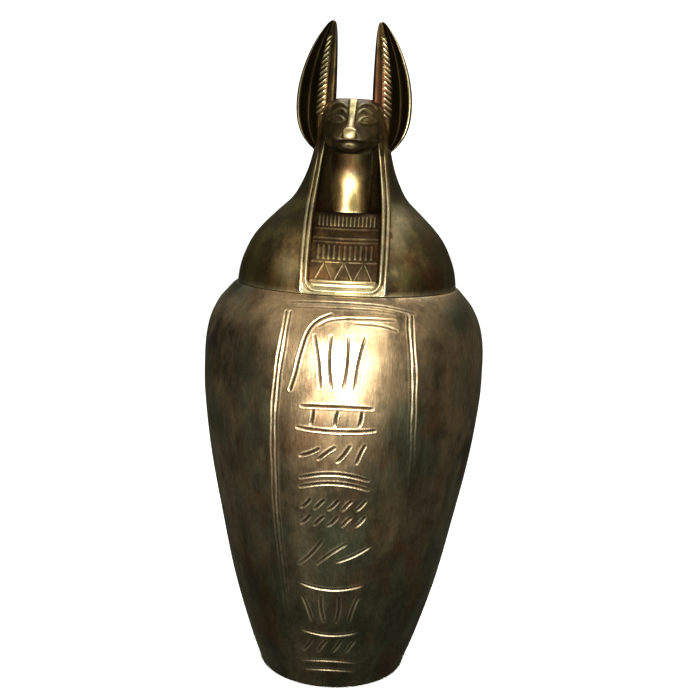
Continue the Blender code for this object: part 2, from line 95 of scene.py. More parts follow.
# %% [markdown]
# The shapes are read from short tables of stations, such as a height and the radius there. A smooth
# curve through the rows gives the values in between, as a lath does on a boat's frames. Working on
# whole arrays keeps it quick when a mesh has tens of thousands of points.

# %% A smooth curve through a table


def along(stations, place, column=1):
    """Values of a column at places on the smooth curve through rows of (place, value, ...)."""
    table = np.array(stations, dtype=float)
    if table[0, 0] > table[-1, 0]:
        table = table[::-1]
    at, value = table[:, 0], table[:, column]
    slope = np.gradient(value)
    slope[1:-1] = (value[2:] - value[:-2]) / (at[2:] - at[:-2])
    slope[0] = (value[1] - value[0]) / (at[1] - at[0])
    slope[-1] = (value[-1] - value[-2]) / (at[-1] - at[-2])
    place = np.clip(place, at[0], at[-1])
    k = np.clip(np.searchsorted(at, place, side="right") - 1, 0, len(at) - 2)
    span = at[k + 1] - at[k]
    t = (place - at[k]) / span
    return (
        (2 * t**3 - 3 * t**2 + 1) * value[k]
        + (t**3 - 2 * t**2 + t) * slope[k] * span
        + (3 * t**2 - 2 * t**3) * value[k + 1]
        + (t**3 - t**2) * slope[k + 1] * span
    )


def smooth_step(low, high, value):
    """From 0 at low to 1 at high, flat at both ends."""
    t = np.clip((np.asarray(value) - low) / (high - low), 0.0, 1.0)
    return t * t * (3 - 2 * t)


WALL_STATIONS = (
    (0.0044, 0.0490),
    (0.0254, 0.0566),
    (0.0635, 0.0678),
    (0.1055, 0.0769),
    (0.1474, 0.0850),
    (0.1852, 0.0896),
    (0.2041, 0.0901),
    (0.2200, 0.0895),
    (0.2329, 0.0870),
    (0.2444, 0.0817),
    (0.2504, 0.0768),
    (0.2549, 0.0727),
)
print("widest radius of the wall:", round(max(radius for height, radius in WALL_STATIONS), 4))

# %% [markdown]
# The jar is a turned shape: its outline runs from the middle of the underside, round the foot, up the
# wall, over the flat ledge that carries the lid, and down inside to the floor. A spin round Z makes the
# whole vessel, hollow and with its true wall, in one closed skin. The foot and the ledge get small
# rounds, because a sharp edge never comes out of a mould. A spin lists its faces in another order on
# each run, so they are sorted afterwards, and every later step gives the same result each time.

# %% The jar's turned skin
WELD = 0.00001
UNDERSIDE_RINGS = (0.0240, 0.0400)
FOOT_ROUND = ((0.0462, 0.0000), (0.0472, 0.0003), (0.0479, 0.0010), (0.0485, 0.0022))
LEDGE_ROUND = ((0.0720, 0.0000), (0.0716, 0.0004), (0.0708, 0.0006))
LEDGE_HEIGHT = 0.2560
LEDGE_DROP = 0.0006
LEDGE_MIDDLE = 0.0645
MOUTH_RADIUS = 0.0580
MOUTH_LIP = 0.0060
MOUTH_ROUND = 0.0008
WALL = 0.0055
FLOOR = 0.0075
FLOOR_RINGS = ((0.0200, 0.0075), (0.0340, 0.0076), (0.0400, 0.0084), (0.0436, 0.0104))
FLOOR_BEND = 0.0060
SHOULDER_INSIDE = 0.2420
PROBE = 0.0010
WALL_RINGS = 104
INSIDE_RINGS = 30
JAR_STEPS = 192


def jar_outline():
    """(radius, height) from the middle of the underside to the middle of the floor."""
    outline = [(0.0, 0.0), *((radius, 0.0) for radius in UNDERSIDE_RINGS), *FOOT_ROUND]
    for height in np.linspace(WALL_STATIONS[0][0], WALL_STATIONS[-1][0], WALL_RINGS):
        outline.append((float(along(WALL_STATIONS, height)), float(height)))
    outline += [(radius, LEDGE_HEIGHT - LEDGE_DROP + rise) for radius, rise in LEDGE_ROUND]
    outline += [(LEDGE_MIDDLE, LEDGE_HEIGHT), (MOUTH_RADIUS + MOUTH_ROUND, LEDGE_HEIGHT)]
    outline += [(MOUTH_RADIUS, LEDGE_HEIGHT - MOUTH_ROUND), (MOUTH_RADIUS, LEDGE_HEIGHT - MOUTH_LIP)]
    for height in np.linspace(SHOULDER_INSIDE, FLOOR + FLOOR_BEND, INSIDE_RINGS):
        low, high = along(WALL_STATIONS, height - PROBE), along(WALL_STATIONS, height + PROBE)
        lean = math.hypot(2 * PROBE, high - low) / (2 * PROBE)
        outline.append((float(along(WALL_STATIONS, height)) - WALL * lean, float(height)))
    outline += [*FLOOR_RINGS[::-1], (0.0, FLOOR)]
    return outline


def points_of(shape):
    """The places of a bmesh's vertices as an array."""
    return np.array([vert.co for vert in shape.verts])


def put_points(shape, places):
    """Moves a bmesh's vertices to the rows of an array."""
    for vert, place in zip(shape.verts, places):
        vert.co = place


def in_order(shape):
    """The same skin with its points and faces in a fixed order."""
    shape.verts.index_update()
    places = points_of(shape)
    order = np.lexsort(places.T)
    new_index = np.argsort(order).tolist()
    rings = []
    for face in shape.faces:
        ring = [new_index[vert.index] for vert in face.verts]
        first = ring.index(min(ring))
        rings.append((ring[first:] + ring[:first], ring))
    shape.free()
    ordered = bmesh.new()
    verts = [ordered.verts.new(place) for place in places[order]]
    for _, ring in sorted(rings):
        ordered.faces.new([verts[index] for index in ring])
    ordered.normal_update()
    return ordered


def spun(outline, steps):
    """A closed skin turned round Z from a chain of (radius, height) points."""
    shape = bmesh.new()
    verts = [shape.verts.new((radius, 0.0, height)) for radius, height in outline]
    edges = [shape.edges.new(pair) for pair in zip(verts, verts[1:])]
    bmesh.ops.spin(
        shape, geom=verts + edges, cent=(0, 0, 0), axis=(0, 0, 1), dvec=(0, 0, 0),
        angle=math.tau, steps=steps, use_merge=True,
    )
    bmesh.ops.remove_doubles(shape, verts=shape.verts, dist=WELD)
    bmesh.ops.recalc_face_normals(shape, faces=shape.faces)
    return in_order(shape)


jar_skin = spun(jar_outline(), JAR_STEPS)
print("jar skin:", len(jar_skin.faces), "faces")

# %% [markdown]
# The panel is drawn on the front of the wall: a pair of lines down each side, four across the top and
# one long sweep beside the first row. Each line is a path of points on the wall, and every point also
# has a strength, so a line can fade out, as the side lines do towards the foot.

# %% The lines of the panel
LEFT_LINE = ((0.0350, -0.0215), (0.0940, -0.0290), (0.1480, -0.0338), (0.2050, -0.0338), (0.2465, -0.0288))
RIGHT_LINE = ((0.0350, 0.0298), (0.0940, 0.0386), (0.1480, 0.0436), (0.2050, 0.0430), (0.2465, 0.0392))
LEFT_FADE = ((0.0350, 0.10), (0.0900, 0.30), (0.1500, 0.65), (0.2000, 1.00), (0.2465, 1.00))
RIGHT_FADE = ((0.0350, 0.00), (0.0900, 0.03), (0.1500, 0.15), (0.1950, 0.80), (0.2465, 0.90))
LINE_SPACING = 0.0025
LINE_POINTS = 60
WAVER = 0.0002
WAVER_TURNS = (95, 230)
WAVER_SHARE = 0.7
WAVER_SHIFT = 900
RIM_LINE = (
    (-0.0306, 0.2514),
    (-0.0181, 0.2523),
    (0.0010, 0.2527),
    (0.0215, 0.2518),
    (0.0344, 0.2496),
    (0.0430, 0.2474),
)
SECOND_LINE = ((-0.0270, 0.2490), (-0.0120, 0.2497), (0.0050, 0.2499), (0.0200, 0.2493), (0.0330, 0.2474))
THIRD_LINE = ((-0.0118, 0.2402), (-0.0066, 0.2431), (0.0010, 0.2445), (0.0145, 0.2449), (0.0317, 0.2440))
SHORT_LINE = ((0.0090, 0.2422), (0.0180, 0.2419), (0.0260, 0.2408), (0.0331, 0.2386))
TOP_LINES = ((0.9, RIM_LINE), (0.6, SECOND_LINE), (1.0, THIRD_LINE), (0.8, SHORT_LINE))
TOP_POINTS = 26
SWEEP = (
    (0.2027, -0.0268),
    (0.2119, -0.0242),
    (0.2253, -0.0214),
    (0.2383, -0.0170),
    (0.2440, -0.0112),
    (0.2466, -0.0052),
)
SWEEP_STRENGTH = 0.9
SWEEP_POINTS = 18
END_STRENGTH = 0.35
END_POWER = 0.4


def on_wall(x, height):
    """The point of the wall in front at a distance from the middle and a height."""
    radius = float(along(WALL_STATIONS, height))
    return (x, -math.sqrt(radius**2 - x**2), height)


def faded_ends(level):
    """The strength of a stroke, where level is 1 in its middle and 0 at its ends."""
    return END_STRENGTH + (1 - END_STRENGTH) * level**END_POWER


def side_lines():
    """A pair of lines down each side of the panel, which waver a little as if cut by hand."""
    paths = []
    slow, quick = WAVER_TURNS
    for line, fade in ((LEFT_LINE, LEFT_FADE), (RIGHT_LINE, RIGHT_FADE)):
        outward = math.copysign(LINE_SPACING, line[0][1])
        for offset in (0.0, outward):
            path = []
            for height in np.linspace(line[0][0], line[-1][0], LINE_POINTS):
                tremble = WAVER_SHARE * math.sin(height * quick + offset * WAVER_SHIFT)
                x = float(along(line, height)) + offset + WAVER * (math.sin(height * slow) + tremble)
                path.append((*on_wall(x, float(height)), float(along(fade, height))))
            paths.append(path)
    return paths


def top_lines():
    """The lines across the top of the panel."""
    paths = []
    for strength, line in TOP_LINES:
        path = []
        for t in np.linspace(0.0, 1.0, TOP_POINTS):
            x = line[0][0] + (line[-1][0] - line[0][0]) * t
            fade = faded_ends(math.sin(math.pi * t))
            path.append((*on_wall(x, float(along(line, x))), strength * fade))
        paths.append(path)
    return paths


def sweep_path():
    """One long curved stroke beside the top row."""
    heights = np.linspace(SWEEP[0][0], SWEEP[-1][0], SWEEP_POINTS)
    return [(*on_wall(float(along(SWEEP, height)), float(height)), SWEEP_STRENGTH) for height in heights]


line_paths = side_lines() + top_lines()
print(len(line_paths), "lines")

# %% [markdown]
# Down the middle runs a column of plain strokes between shallow arcs. Rows of a table give where each
# row stands, how many strokes it has and how they lean, and a loop draws them, so a row can be changed
# by one number. The strokes are ornament in a steady rhythm, and none of them is a letter.

# %% The rows of strokes
COLUMN_MIDDLE = 0.0007
# Each row: height, count, length, lean of the first stroke, turn from stroke to stroke, half width.
STROKE_ROWS = (
    (0.2200, 4, 0.0300, -9.0, 6.0, 0.0165),
    (0.1875, 3, 0.0083, 8.0, 0.0, 0.0210),
    (0.1661, 4, 0.0118, 64.0, -14.0, 0.0200),
    (0.1335, 5, 0.0078, 40.0, 0.0, 0.0205),
    (0.1228, 5, 0.0078, 40.0, 0.0, 0.0205),
    (0.1007, 3, 0.0220, 38.0, 12.0, 0.0195),
    (0.0615, 4, 0.0180, -20.0, 12.0, 0.0190),
    (0.0338, 4, 0.0100, 30.0, 0.0, 0.0180),
)
# Each arc: height of its ends, half width, rise in its middle.
ARCS = (
    (0.1939, 0.0205, 0.0008),
    (0.1807, 0.0225, -0.0008),
    (0.1496, 0.0200, 0.0040),
    (0.1437, 0.0200, 0.0040),
    (0.0792, 0.0190, -0.0030),
    (0.0447, 0.0170, -0.0020),
    (0.0209, 0.0165, 0.0020),
    (0.0139, 0.0155, 0.0015),
)
STROKE_FADE = ((0.0100, 0.75), (0.1000, 0.75), (0.1600, 1.00), (0.2400, 1.00))
STROKE_POINTS = 9
ARC_POINTS = 13
STROKE_BOW = 0.035


def stroke_path(start, end, bow):
    """A slightly bowed stroke between two (x, height) points, fainter at its ends."""
    path = []
    for t in np.linspace(0.0, 1.0, STROKE_POINTS):
        swing = bow * math.sin(math.pi * t)
        x = start[0] + (end[0] - start[0]) * t - (end[1] - start[1]) * swing
        height = start[1] + (end[1] - start[1]) * t + (end[0] - start[0]) * swing
        path.append((*on_wall(x, height), faded_ends(math.sin(math.pi * t))))
    return path


def stroke_row(height, count, length, lean, turn, half):
    """Strokes side by side across the column, each turned a little more than the last."""
    spacing = 2 * half / count
    paths = []
    for i in range(count):
        angle = math.radians(lean + turn * i)
        x = COLUMN_MIDDLE - half + spacing * (i + 0.5)
        reach_x, reach_z = math.sin(angle) * length / 2, math.cos(angle) * length / 2
        bow = STROKE_BOW * (1 if i % 2 else -1)
        paths.append(stroke_path((x - reach_x, height - reach_z), (x + reach_x, height + reach_z), bow))
    return paths


def arc_path(height, half, rise):
    """A long shallow arc across the column, fainter at its ends."""
    path = []
    for t in np.linspace(-1.0, 1.0, ARC_POINTS):
        level = 1 - t**2
        path.append((*on_wall(COLUMN_MIDDLE + half * t, height + rise * level), faded_ends(level)))
    return path


stroke_paths = [sweep_path()] + [arc_path(*arc) for arc in ARCS]
for row in STROKE_ROWS:
    stroke_paths += stroke_row(*row)
print(len(stroke_paths), "strokes")

# %% [markdown]
# A cut could be made by a Boolean, but its edges come out knife-sharp. Here the wall itself is pressed
# in: the faces near a path are divided until they are about half a millimetre wide, and their points
# move in by a round groove's depth, with a slight lip on both sides where the tool pushed the metal up.
# The helpers come first, since the lid's relief uses them too.

# %% Pressing lines into a surface
NEAR = 0.0100
NOT_NEAR = 1.0
GROOVE_POWER = 1.5
LIP_PLACE = 1.25
LIP_WIDTH = 0.45


def nearness(places, paths):
    """For each place, its distance to the nearest path and the path's strength there."""
    gap = np.full(len(places), NOT_NEAR)
    strength = np.zeros(len(places))
    for path in paths:
        path = np.array(path, dtype=float)
        low, high = path[:, :3].min(axis=0) - NEAR, path[:, :3].max(axis=0) + NEAR
        close = np.nonzero(((places > low) & (places < high)).all(axis=1))[0]
        for start, end in zip(path, path[1:]):
            way = end[:3] - start[:3]
            here = places[close] - start[:3]
            t = np.clip(here @ way / (way @ way), 0.0, 1.0)
            distance = np.linalg.norm(here - t[:, None] * way, axis=1)
            closer = distance < gap[close]
            rows = close[closer]
            gap[rows] = distance[closer]
            strength[rows] = (start[3] + t * (end[3] - start[3]))[closer]
    return gap, strength


def divide_near(shape, picked, cuts):
    """Divides the picked faces of a bmesh, where relief needs small faces."""
    shape.faces.ensure_lookup_table()
    edges = dict.fromkeys(edge for i in np.nonzero(picked)[0] for edge in shape.faces[i].edges)
    bmesh.ops.subdivide_edges(shape, edges=list(edges), cuts=cuts, use_grid_fill=True)


def face_centres(shape):
    """The middles of a bmesh's faces as an array."""
    return np.array([face.calc_center_median() for face in shape.faces])


def hollowed(gap, half_width):
    """A groove's share of its depth at a distance from its middle line."""
    return np.clip(1 - (gap / half_width) ** 2, 0.0, 1.0) ** GROOVE_POWER


def lipped(gap, half_width):
    """The low lip on both sides of a groove."""
    return np.exp(-(((gap - half_width * LIP_PLACE) / (half_width * LIP_WIDTH)) ** 2))


print("share of its depth that a groove has halfway to its edge:", round(float(hollowed(0.5, 1.0)), 2))

# %% [markdown]
# The wall's points now move. Only points of the outer wall do, never those of the foot, the ledge or
# the inside, so the vessel keeps its true wall beside each groove.

# %% The jar's carving
LINE_HALF = 0.0009
LINE_DEPTH = 0.0005
STROKE_HALF = 0.0010
STROKE_DEPTH = 0.0008
LIP = 0.0002
JAR_CUTS = 4
DIVIDED = 0.0034

centres = face_centres(jar_skin)
outer = np.hypot(centres[:, 0], centres[:, 1]) > along(WALL_STATIONS, centres[:, 2]) - WALL / 2
wall_gap, _ = nearness(centres, line_paths + stroke_paths)
divide_near(jar_skin, outer & (wall_gap < DIVIDED), JAR_CUTS)

places = points_of(jar_skin)
radius = np.hypot(places[:, 0], places[:, 1])
wall_radius = along(WALL_STATIONS, places[:, 2])
on_skin = (places[:, 2] > WALL_STATIONS[0][0]) & (places[:, 2] < WALL_STATIONS[-1][0])
on_skin &= radius > wall_radius - WALL / 2
line_gap, line_strength = nearness(places, line_paths)
stroke_gap, stroke_strength = nearness(places, stroke_paths)
stroke_strength *= along(STROKE_FADE, places[:, 2])
press = np.maximum(
    LINE_DEPTH * line_strength * hollowed(line_gap, LINE_HALF),
    STROKE_DEPTH * stroke_strength * hollowed(stroke_gap, STROKE_HALF),
)
lip = LIP * np.maximum(
    line_strength * lipped(line_gap, LINE_HALF),
    stroke_strength * lipped(stroke_gap, STROKE_HALF),
)
new_radius = np.where(on_skin, wall_radius - press + lip * (press < WELD), radius)
scale = np.where(radius > WELD, new_radius / np.maximum(radius, WELD), 1.0)
places[:, :2] *= scale[:, None]
put_points(jar_skin, places)
deepest = round(float(press.max()) * 1000, 2)
print("jar after carving:", len(jar_skin.faces), "faces, deepest", deepest, "mm")

# %% [markdown]
# The finish needs to know where the metal was pressed, where it is rubbed bright and where a highlight is
# painted, and where it is darker with old patina and where shade is painted. These are three values for
# each point. The jar grows darker and greener towards the foot. It is darker towards the back, partly as
# wear and partly as painted shade that darkens the flanks. A few soft patches in front are darker, partly
# smudges of patina, as on a thing that has been handled for a long time, and partly painted shade, and one
# on the left shoulder is a painted highlight.

# %% The jar's wear, patina and painted light
FOOT_DARK_HEIGHTS = (0.1850, 0.0500)
FOOT_DARKNESS = 0.45
# Darker towards the back and the flanks: partly wear, partly painted shade of the flanks.
BACK_DARK_REACH = (-0.0300, 0.0100)
BACK_DARKNESS = 0.50
# Darker patches in front, partly smudges of patina and partly painted shade; the last, on the right
# shoulder, is painted shade over a lamp's reflection.
# Each patch: x, height, radius across, radius upward, strength.
JAR_SMUDGES_AND_SHADE = (
    (0.0420, 0.1640, 0.0150, 0.0280, 0.85),
    (0.0250, 0.1480, 0.0100, 0.0220, 0.45),
    (-0.0300, 0.1500, 0.0050, 0.0220, 0.30),
    (-0.0560, 0.2150, 0.0070, 0.0180, 0.40),
    (0.0180, 0.0900, 0.0080, 0.0140, 0.35),
    (-0.0420, 0.1050, 0.0060, 0.0260, 0.35),
    (0.0710, 0.2440, 0.0110, 0.0100, 0.75),
)
# A painted highlight on the left shoulder.
JAR_PAINTED_HIGHLIGHT = ((-0.0730, 0.2440, 0.0120, 0.0100, 0.35),)


def patches(places, table):
    """Soft patches on the front, from 0 to each patch's own strength."""
    total = np.zeros(len(places))
    for x, height, wide, tall, strength in table:
        gap = ((places[:, 0] - x) / wide) ** 2 + ((places[:, 2] - height) / tall) ** 2
        total = np.maximum(total, strength * np.exp(-gap) * (places[:, 1] < 0))
    return total


# Darker and greener towards the foot, and darker towards the back and in patches, partly as painted shade.
foot_darkening = smooth_step(*FOOT_DARK_HEIGHTS, places[:, 2]) * FOOT_DARKNESS
back_patina_and_shade = smooth_step(*BACK_DARK_REACH, places[:, 1]) * BACK_DARKNESS
jar_values = {
    "deep_patina_and_shade": np.where(on_skin, press / STROKE_DEPTH, 0.0),
    "burnished_and_highlights": np.maximum(np.where(on_skin, lip / LIP, 0.0), patches(places, JAR_PAINTED_HIGHLIGHT)),
    "old_patina_and_shade": np.maximum(np.maximum(foot_darkening, back_patina_and_shade), patches(places, JAR_SMUDGES_AND_SHADE)),
}
for key, values in jar_values.items():
    print(key, "has a mean of", round(float(values.mean()), 3))

# %% [markdown]
# The three values go into the mesh as attributes. The finish reads them later, so dark patina can sit
# in the grooves, the lips can be rubbed bright, and painted shade and painted highlights fall exactly in
# place. A turned wall has no sharp edge, so the jar is shaded smooth throughout, while other pieces keep
# edges past a chosen angle.

# %% From a bmesh to a finished piece
SHARP_ANGLE = math.radians(50)


def piece(name, shape, attributes, smooth_all=False):
    """An object at the origin from a bmesh, with values per vertex for its finish."""
    mesh = bpy.data.meshes.new(name)
    shape.to_mesh(mesh)
    shape.free()
    mesh.shade_smooth()
    if not smooth_all:
        mesh.set_sharp_from_angle(angle=SHARP_ANGLE)
    for key, values in attributes.items():
        attribute = mesh.attributes.new(key, "FLOAT", "POINT")
        attribute.data.foreach_set("value", np.asarray(values, dtype=np.float32))
    obj = bpy.data.objects.new(name, mesh)
    bpy.context.scene.collection.objects.link(obj)
    return obj


def triangles(obj):
    """How many triangles an object's mesh has."""
    return sum(len(face.vertices) - 2 for face in obj.data.polygons)


jar = piece("jar_carved", jar_skin, jar_values, smooth_all=True)
print(jar.name, "has", triangles(jar), "triangles")

# %% [markdown]
# The wig is turned too, and then every ring is drawn out to its own width at the sides, in front and
# behind. The same spin makes the flat rim, the spigot ring that drops into the mouth, and the hollow
# underneath, so the lid is hollow and open downwards, as a casting that lifts off has to be.

# %% The wig's turned skin
# Each row: height, half width at the side, reach in front, reach behind.
WIG_STATIONS = (
    (0.2563, 0.0701, 0.0695, 0.0701),
    (0.2619, 0.0695, 0.0685, 0.0695),
    (0.2688, 0.0681, 0.0665, 0.0682),
    (0.2778, 0.0647, 0.0615, 0.0653),
    (0.2858, 0.0605, 0.0559, 0.0617),
    (0.2939, 0.0539, 0.0498, 0.0563),
    (0.3019, 0.0458, 0.0438, 0.0500),
    (0.3109, 0.0365, 0.0384, 0.0435),
    (0.3200, 0.0312, 0.0342, 0.0393),
    (0.3300, 0.0272, 0.0307, 0.0362),
    (0.3420, 0.0242, 0.0272, 0.0342),
    (0.3530, 0.0224, 0.0201, 0.0337),
    (0.3630, 0.0201, 0.0151, 0.0302),
    (0.3695, 0.0166, 0.0111, 0.0227),
    (0.3725, 0.0111, 0.0070, 0.0131),
)
HOLLOW_STATIONS = (
    (0.2400, 0.0515, 0.0515, 0.0515),
    (0.2575, 0.0515, 0.0515, 0.0515),
    (0.2640, 0.0620, 0.0580, 0.0620),
    (0.2780, 0.0584, 0.0498, 0.0588),
    (0.2900, 0.0506, 0.0408, 0.0524),
    (0.3000, 0.0412, 0.0330, 0.0446),
    (0.3110, 0.0308, 0.0225, 0.0368),
    (0.3250, 0.0222, 0.0180, 0.0300),
    (0.3400, 0.0160, 0.0140, 0.0240),
    (0.3450, 0.0080, 0.0060, 0.0120),
)
RIM_HEIGHT = 0.2563
RIM_ROUND = 0.0008
RIM_RINGS = (0.0690, 0.0630)
RIM_EDGE = 0.0698
CROWN_HEIGHT = 0.3730
SPIGOT_RADIUS = 0.0570
SPIGOT_INSIDE = 0.0515
SPIGOT_BOTTOM = 0.2460
SPIGOT_ROUND = 0.0010
HOLLOW_TOP = 0.3452
WIG_RINGS = 52
HOLLOW_RINGS = 22
LID_STEPS = 168
OPENING_STATIONS = ((0.2600, 0.0209), (0.2870, 0.0211), (0.3106, 0.0203), (0.3470, 0.0165))
OPENING_COLUMNS = 12


def egg_ring(stations, height, angle):
    """Places (x, y) on an egg-shaped ring, at angles measured from the front."""
    side = along(stations, height, 1)
    ahead = np.where(np.cos(angle) > 0, along(stations, height, 2), along(stations, height, 3))
    return side * np.sin(angle), -ahead * np.cos(angle)


def followed(angle, height):
    """Angles changed so that one column of the mesh follows each side of the opening in front."""
    column = OPENING_COLUMNS * math.tau / LID_STEPS
    within = np.clip(height, OPENING_STATIONS[0][0], OPENING_STATIONS[-1][0])
    edge = np.arcsin(along(OPENING_STATIONS, height) / along(WIG_STATIONS, within, 1))
    size = abs(angle)
    beyond = edge + (size - column) * (math.pi - edge) / (math.pi - column)
    return np.sign(angle) * np.where(size < column, size * edge / column, beyond)


def wig_skin():
    """The wig, its rim, the spigot ring and the hollow, spun as one closed skin of rings."""
    outline = [(0.0, CROWN_HEIGHT)]
    kinds = ["pole"]
    for height in np.linspace(WIG_STATIONS[-1][0], RIM_HEIGHT + RIM_ROUND, WIG_RINGS):
        outline.append((float(along(WIG_STATIONS, height)), float(height)))
        kinds.append("wig")
    under = [(RIM_EDGE, RIM_HEIGHT + RIM_ROUND / 4), *((radius, RIM_HEIGHT) for radius in RIM_RINGS)]
    under += [(SPIGOT_RADIUS, RIM_HEIGHT), (SPIGOT_RADIUS, SPIGOT_BOTTOM + SPIGOT_ROUND)]
    under += [(SPIGOT_RADIUS - SPIGOT_ROUND, SPIGOT_BOTTOM), (SPIGOT_INSIDE + SPIGOT_ROUND, SPIGOT_BOTTOM)]
    under += [(SPIGOT_INSIDE, SPIGOT_BOTTOM + SPIGOT_ROUND)]
    outline += under
    kinds += ["round"] * len(under)
    for height in np.linspace(HOLLOW_STATIONS[1][0], HOLLOW_STATIONS[-1][0], HOLLOW_RINGS):
        outline.append((float(along(HOLLOW_STATIONS, height)), float(height)))
        kinds.append("hollow")
    outline.append((0.0, HOLLOW_TOP))
    kinds.append("pole")
    return spun(outline, LID_STEPS), outline, kinds


wig, wig_outline, wig_kinds = wig_skin()
places = points_of(wig)
angle = np.arctan2(places[:, 0], -places[:, 1])
radius = np.hypot(places[:, 0], places[:, 1])
ring_kind = np.empty(len(places), dtype=object)
for (ring_radius, ring_height), kind in zip(wig_outline, wig_kinds):
    hit = (abs(places[:, 2] - ring_height) < WELD) & (abs(radius - ring_radius) < WELD * 2)
    ring_kind[hit] = kind
angle = followed(angle, np.where(ring_kind == "wig", places[:, 2], OPENING_STATIONS[0][0]))
places[:, 0], places[:, 1] = radius * np.sin(angle), -radius * np.cos(angle)
for kind, stations in (("wig", WIG_STATIONS), ("hollow", HOLLOW_STATIONS)):
    rows = ring_kind == kind
    places[rows, 0], places[rows, 1] = egg_ring(stations, places[rows, 2], angle[rows])
put_points(wig, places)
print("wig skin:", len(wig.faces), "faces")

# %% [markdown]
# In front the wig parts over the chest. The parting is a tall opening with round lower corners. Behind
# it lie the chest, which carries the collar, and the throat, a plain round column whose lower edge
# stands on the collar. One surface can hold all of this: points inside the opening drop back along Y
# to the chest, and a narrow band of points makes the opening's steep edge.

# %% The opening, the chest and the throat
OPENING_BOTTOM = 0.2600
OPENING_TOP = 0.3462
OPENING_CORNER = 0.0050
CHEST_STATIONS = (
    (0.2500, 0.0708),
    (0.2590, 0.0670),
    (0.2650, 0.0644),
    (0.2750, 0.0582),
    (0.2880, 0.0488),
    (0.2935, 0.0446),
    (0.3025, 0.0378),
    (0.3038, 0.0318),
    (0.3130, 0.0274),
    (0.3280, 0.0235),
    (0.3480, 0.0220),
)
LEAST_REACH = 0.0001
THROAT_RADIUS = 0.0128
THROAT_MIDDLE = 0.0008
THROAT_SQUARE = 2.45
THROAT_FRONT = 0.0384
THROAT_BOTTOM = 0.3032
THROAT_BEND = (0.3380, 0.3450)
THROAT_LEAN = 0.0150


def wig_front(x, height):
    """How far the wig's front stands before the axis."""
    side, ahead = along(WIG_STATIONS, height, 1), along(WIG_STATIONS, height, 2)
    return ahead * np.sqrt(np.maximum(1 - (x / side) ** 2, 0.0))


def inside_opening(x, height):
    """How far a place is inside the opening's outline, below nothing outside it."""
    to_side = along(OPENING_STATIONS, height) - abs(x)
    to_bottom = height - OPENING_BOTTOM
    past_side = np.maximum(OPENING_CORNER - to_side, 0.0)
    past_bottom = np.maximum(OPENING_CORNER - to_bottom, 0.0)
    in_corner = (to_side < OPENING_CORNER) & (to_bottom < OPENING_CORNER)
    corner = OPENING_CORNER - np.hypot(past_side, past_bottom)
    return np.where(in_corner, corner, np.minimum(to_side, to_bottom))


def chest_front(x, height):
    """How far the chest or the throat stands before the axis."""
    radius = along(CHEST_STATIONS, height)
    chest = np.sqrt(np.maximum(radius**2 - x**2, LEAST_REACH**2))
    aside = x - THROAT_MIDDLE
    level = np.clip(1 - abs(aside / THROAT_RADIUS) ** THROAT_SQUARE, 0.0, 1.0)
    column = THROAT_FRONT - THROAT_RADIUS * (1 - level ** (1 / THROAT_SQUARE))
    column = column - THROAT_LEAN * smooth_step(*THROAT_BEND, height)
    is_throat = (abs(aside) < THROAT_RADIUS) & (height > THROAT_BOTTOM)
    return np.where(is_throat, np.maximum(chest, column), chest)


throat_height = (THROAT_BOTTOM + THROAT_BEND[0]) / 2
print("the throat stands", round(float(chest_front(0.0, throat_height)) * 1000, 1), "mm before the axis")

# %% [markdown]
# The wig's front is divided before it is shaped, so the opening's edge and the relief beside it have
# small faces to work with. Points that lie close to an edge are first moved onto it. Without that step
# a steep edge would jump from column to column of the mesh, like the teeth of a saw.

# %% Cutting the opening
FRONT_LIMIT = -0.0100
DIVIDED_TOP = 0.3470
RELIEF_MARGIN = 0.0062
SKIN_MARGIN = 0.0040
WIG_CUTS = 4
FRONT_SKIN = -0.0060
SKIN_GAP = 0.0012
SNAP = 0.00017
EDGE_WIDTH = 0.0004
TOP_EDGE = 0.0006


def divide_front(shape):
    """Divides the outer faces of the wig in and beside the opening."""
    centres = face_centres(shape)
    near = (centres[:, 1] < FRONT_LIMIT) & (centres[:, 2] < DIVIDED_TOP)
    near &= centres[:, 2] > RIM_HEIGHT + RIM_ROUND
    near &= abs(centres[:, 0]) < along(OPENING_STATIONS, centres[:, 2]) + RELIEF_MARGIN
    inner = along(HOLLOW_STATIONS, centres[:, 2], 2)
    near &= np.hypot(centres[:, 0], centres[:, 1]) > inner + SKIN_MARGIN
    divide_near(shape, near, WIG_CUTS)


def snapped_to_edges(places, on_front):
    """Places moved onto the opening's outline and the throat's sides where they are close to them."""
    places = places.copy()
    depth = inside_opening(places[:, 0], places[:, 2])
    slope_x = (inside_opening(places[:, 0] + WELD, places[:, 2]) - depth) / WELD
    slope_z = (inside_opening(places[:, 0], places[:, 2] + WELD) - depth) / WELD
    close = on_front & (abs(depth) < SNAP) & (places[:, 2] < OPENING_BOTTOM + OPENING_CORNER)
    places[close, 0] -= (depth * slope_x)[close]
    places[close, 2] -= (depth * slope_z)[close]
    aside = places[:, 0] - THROAT_MIDDLE
    over = abs(aside) - THROAT_RADIUS
    close = on_front & (abs(over) < SNAP) & (places[:, 2] > THROAT_BOTTOM) & (places[:, 2] < OPENING_TOP)
    places[close, 0] -= (np.sign(aside) * (over + WELD))[close]
    return places


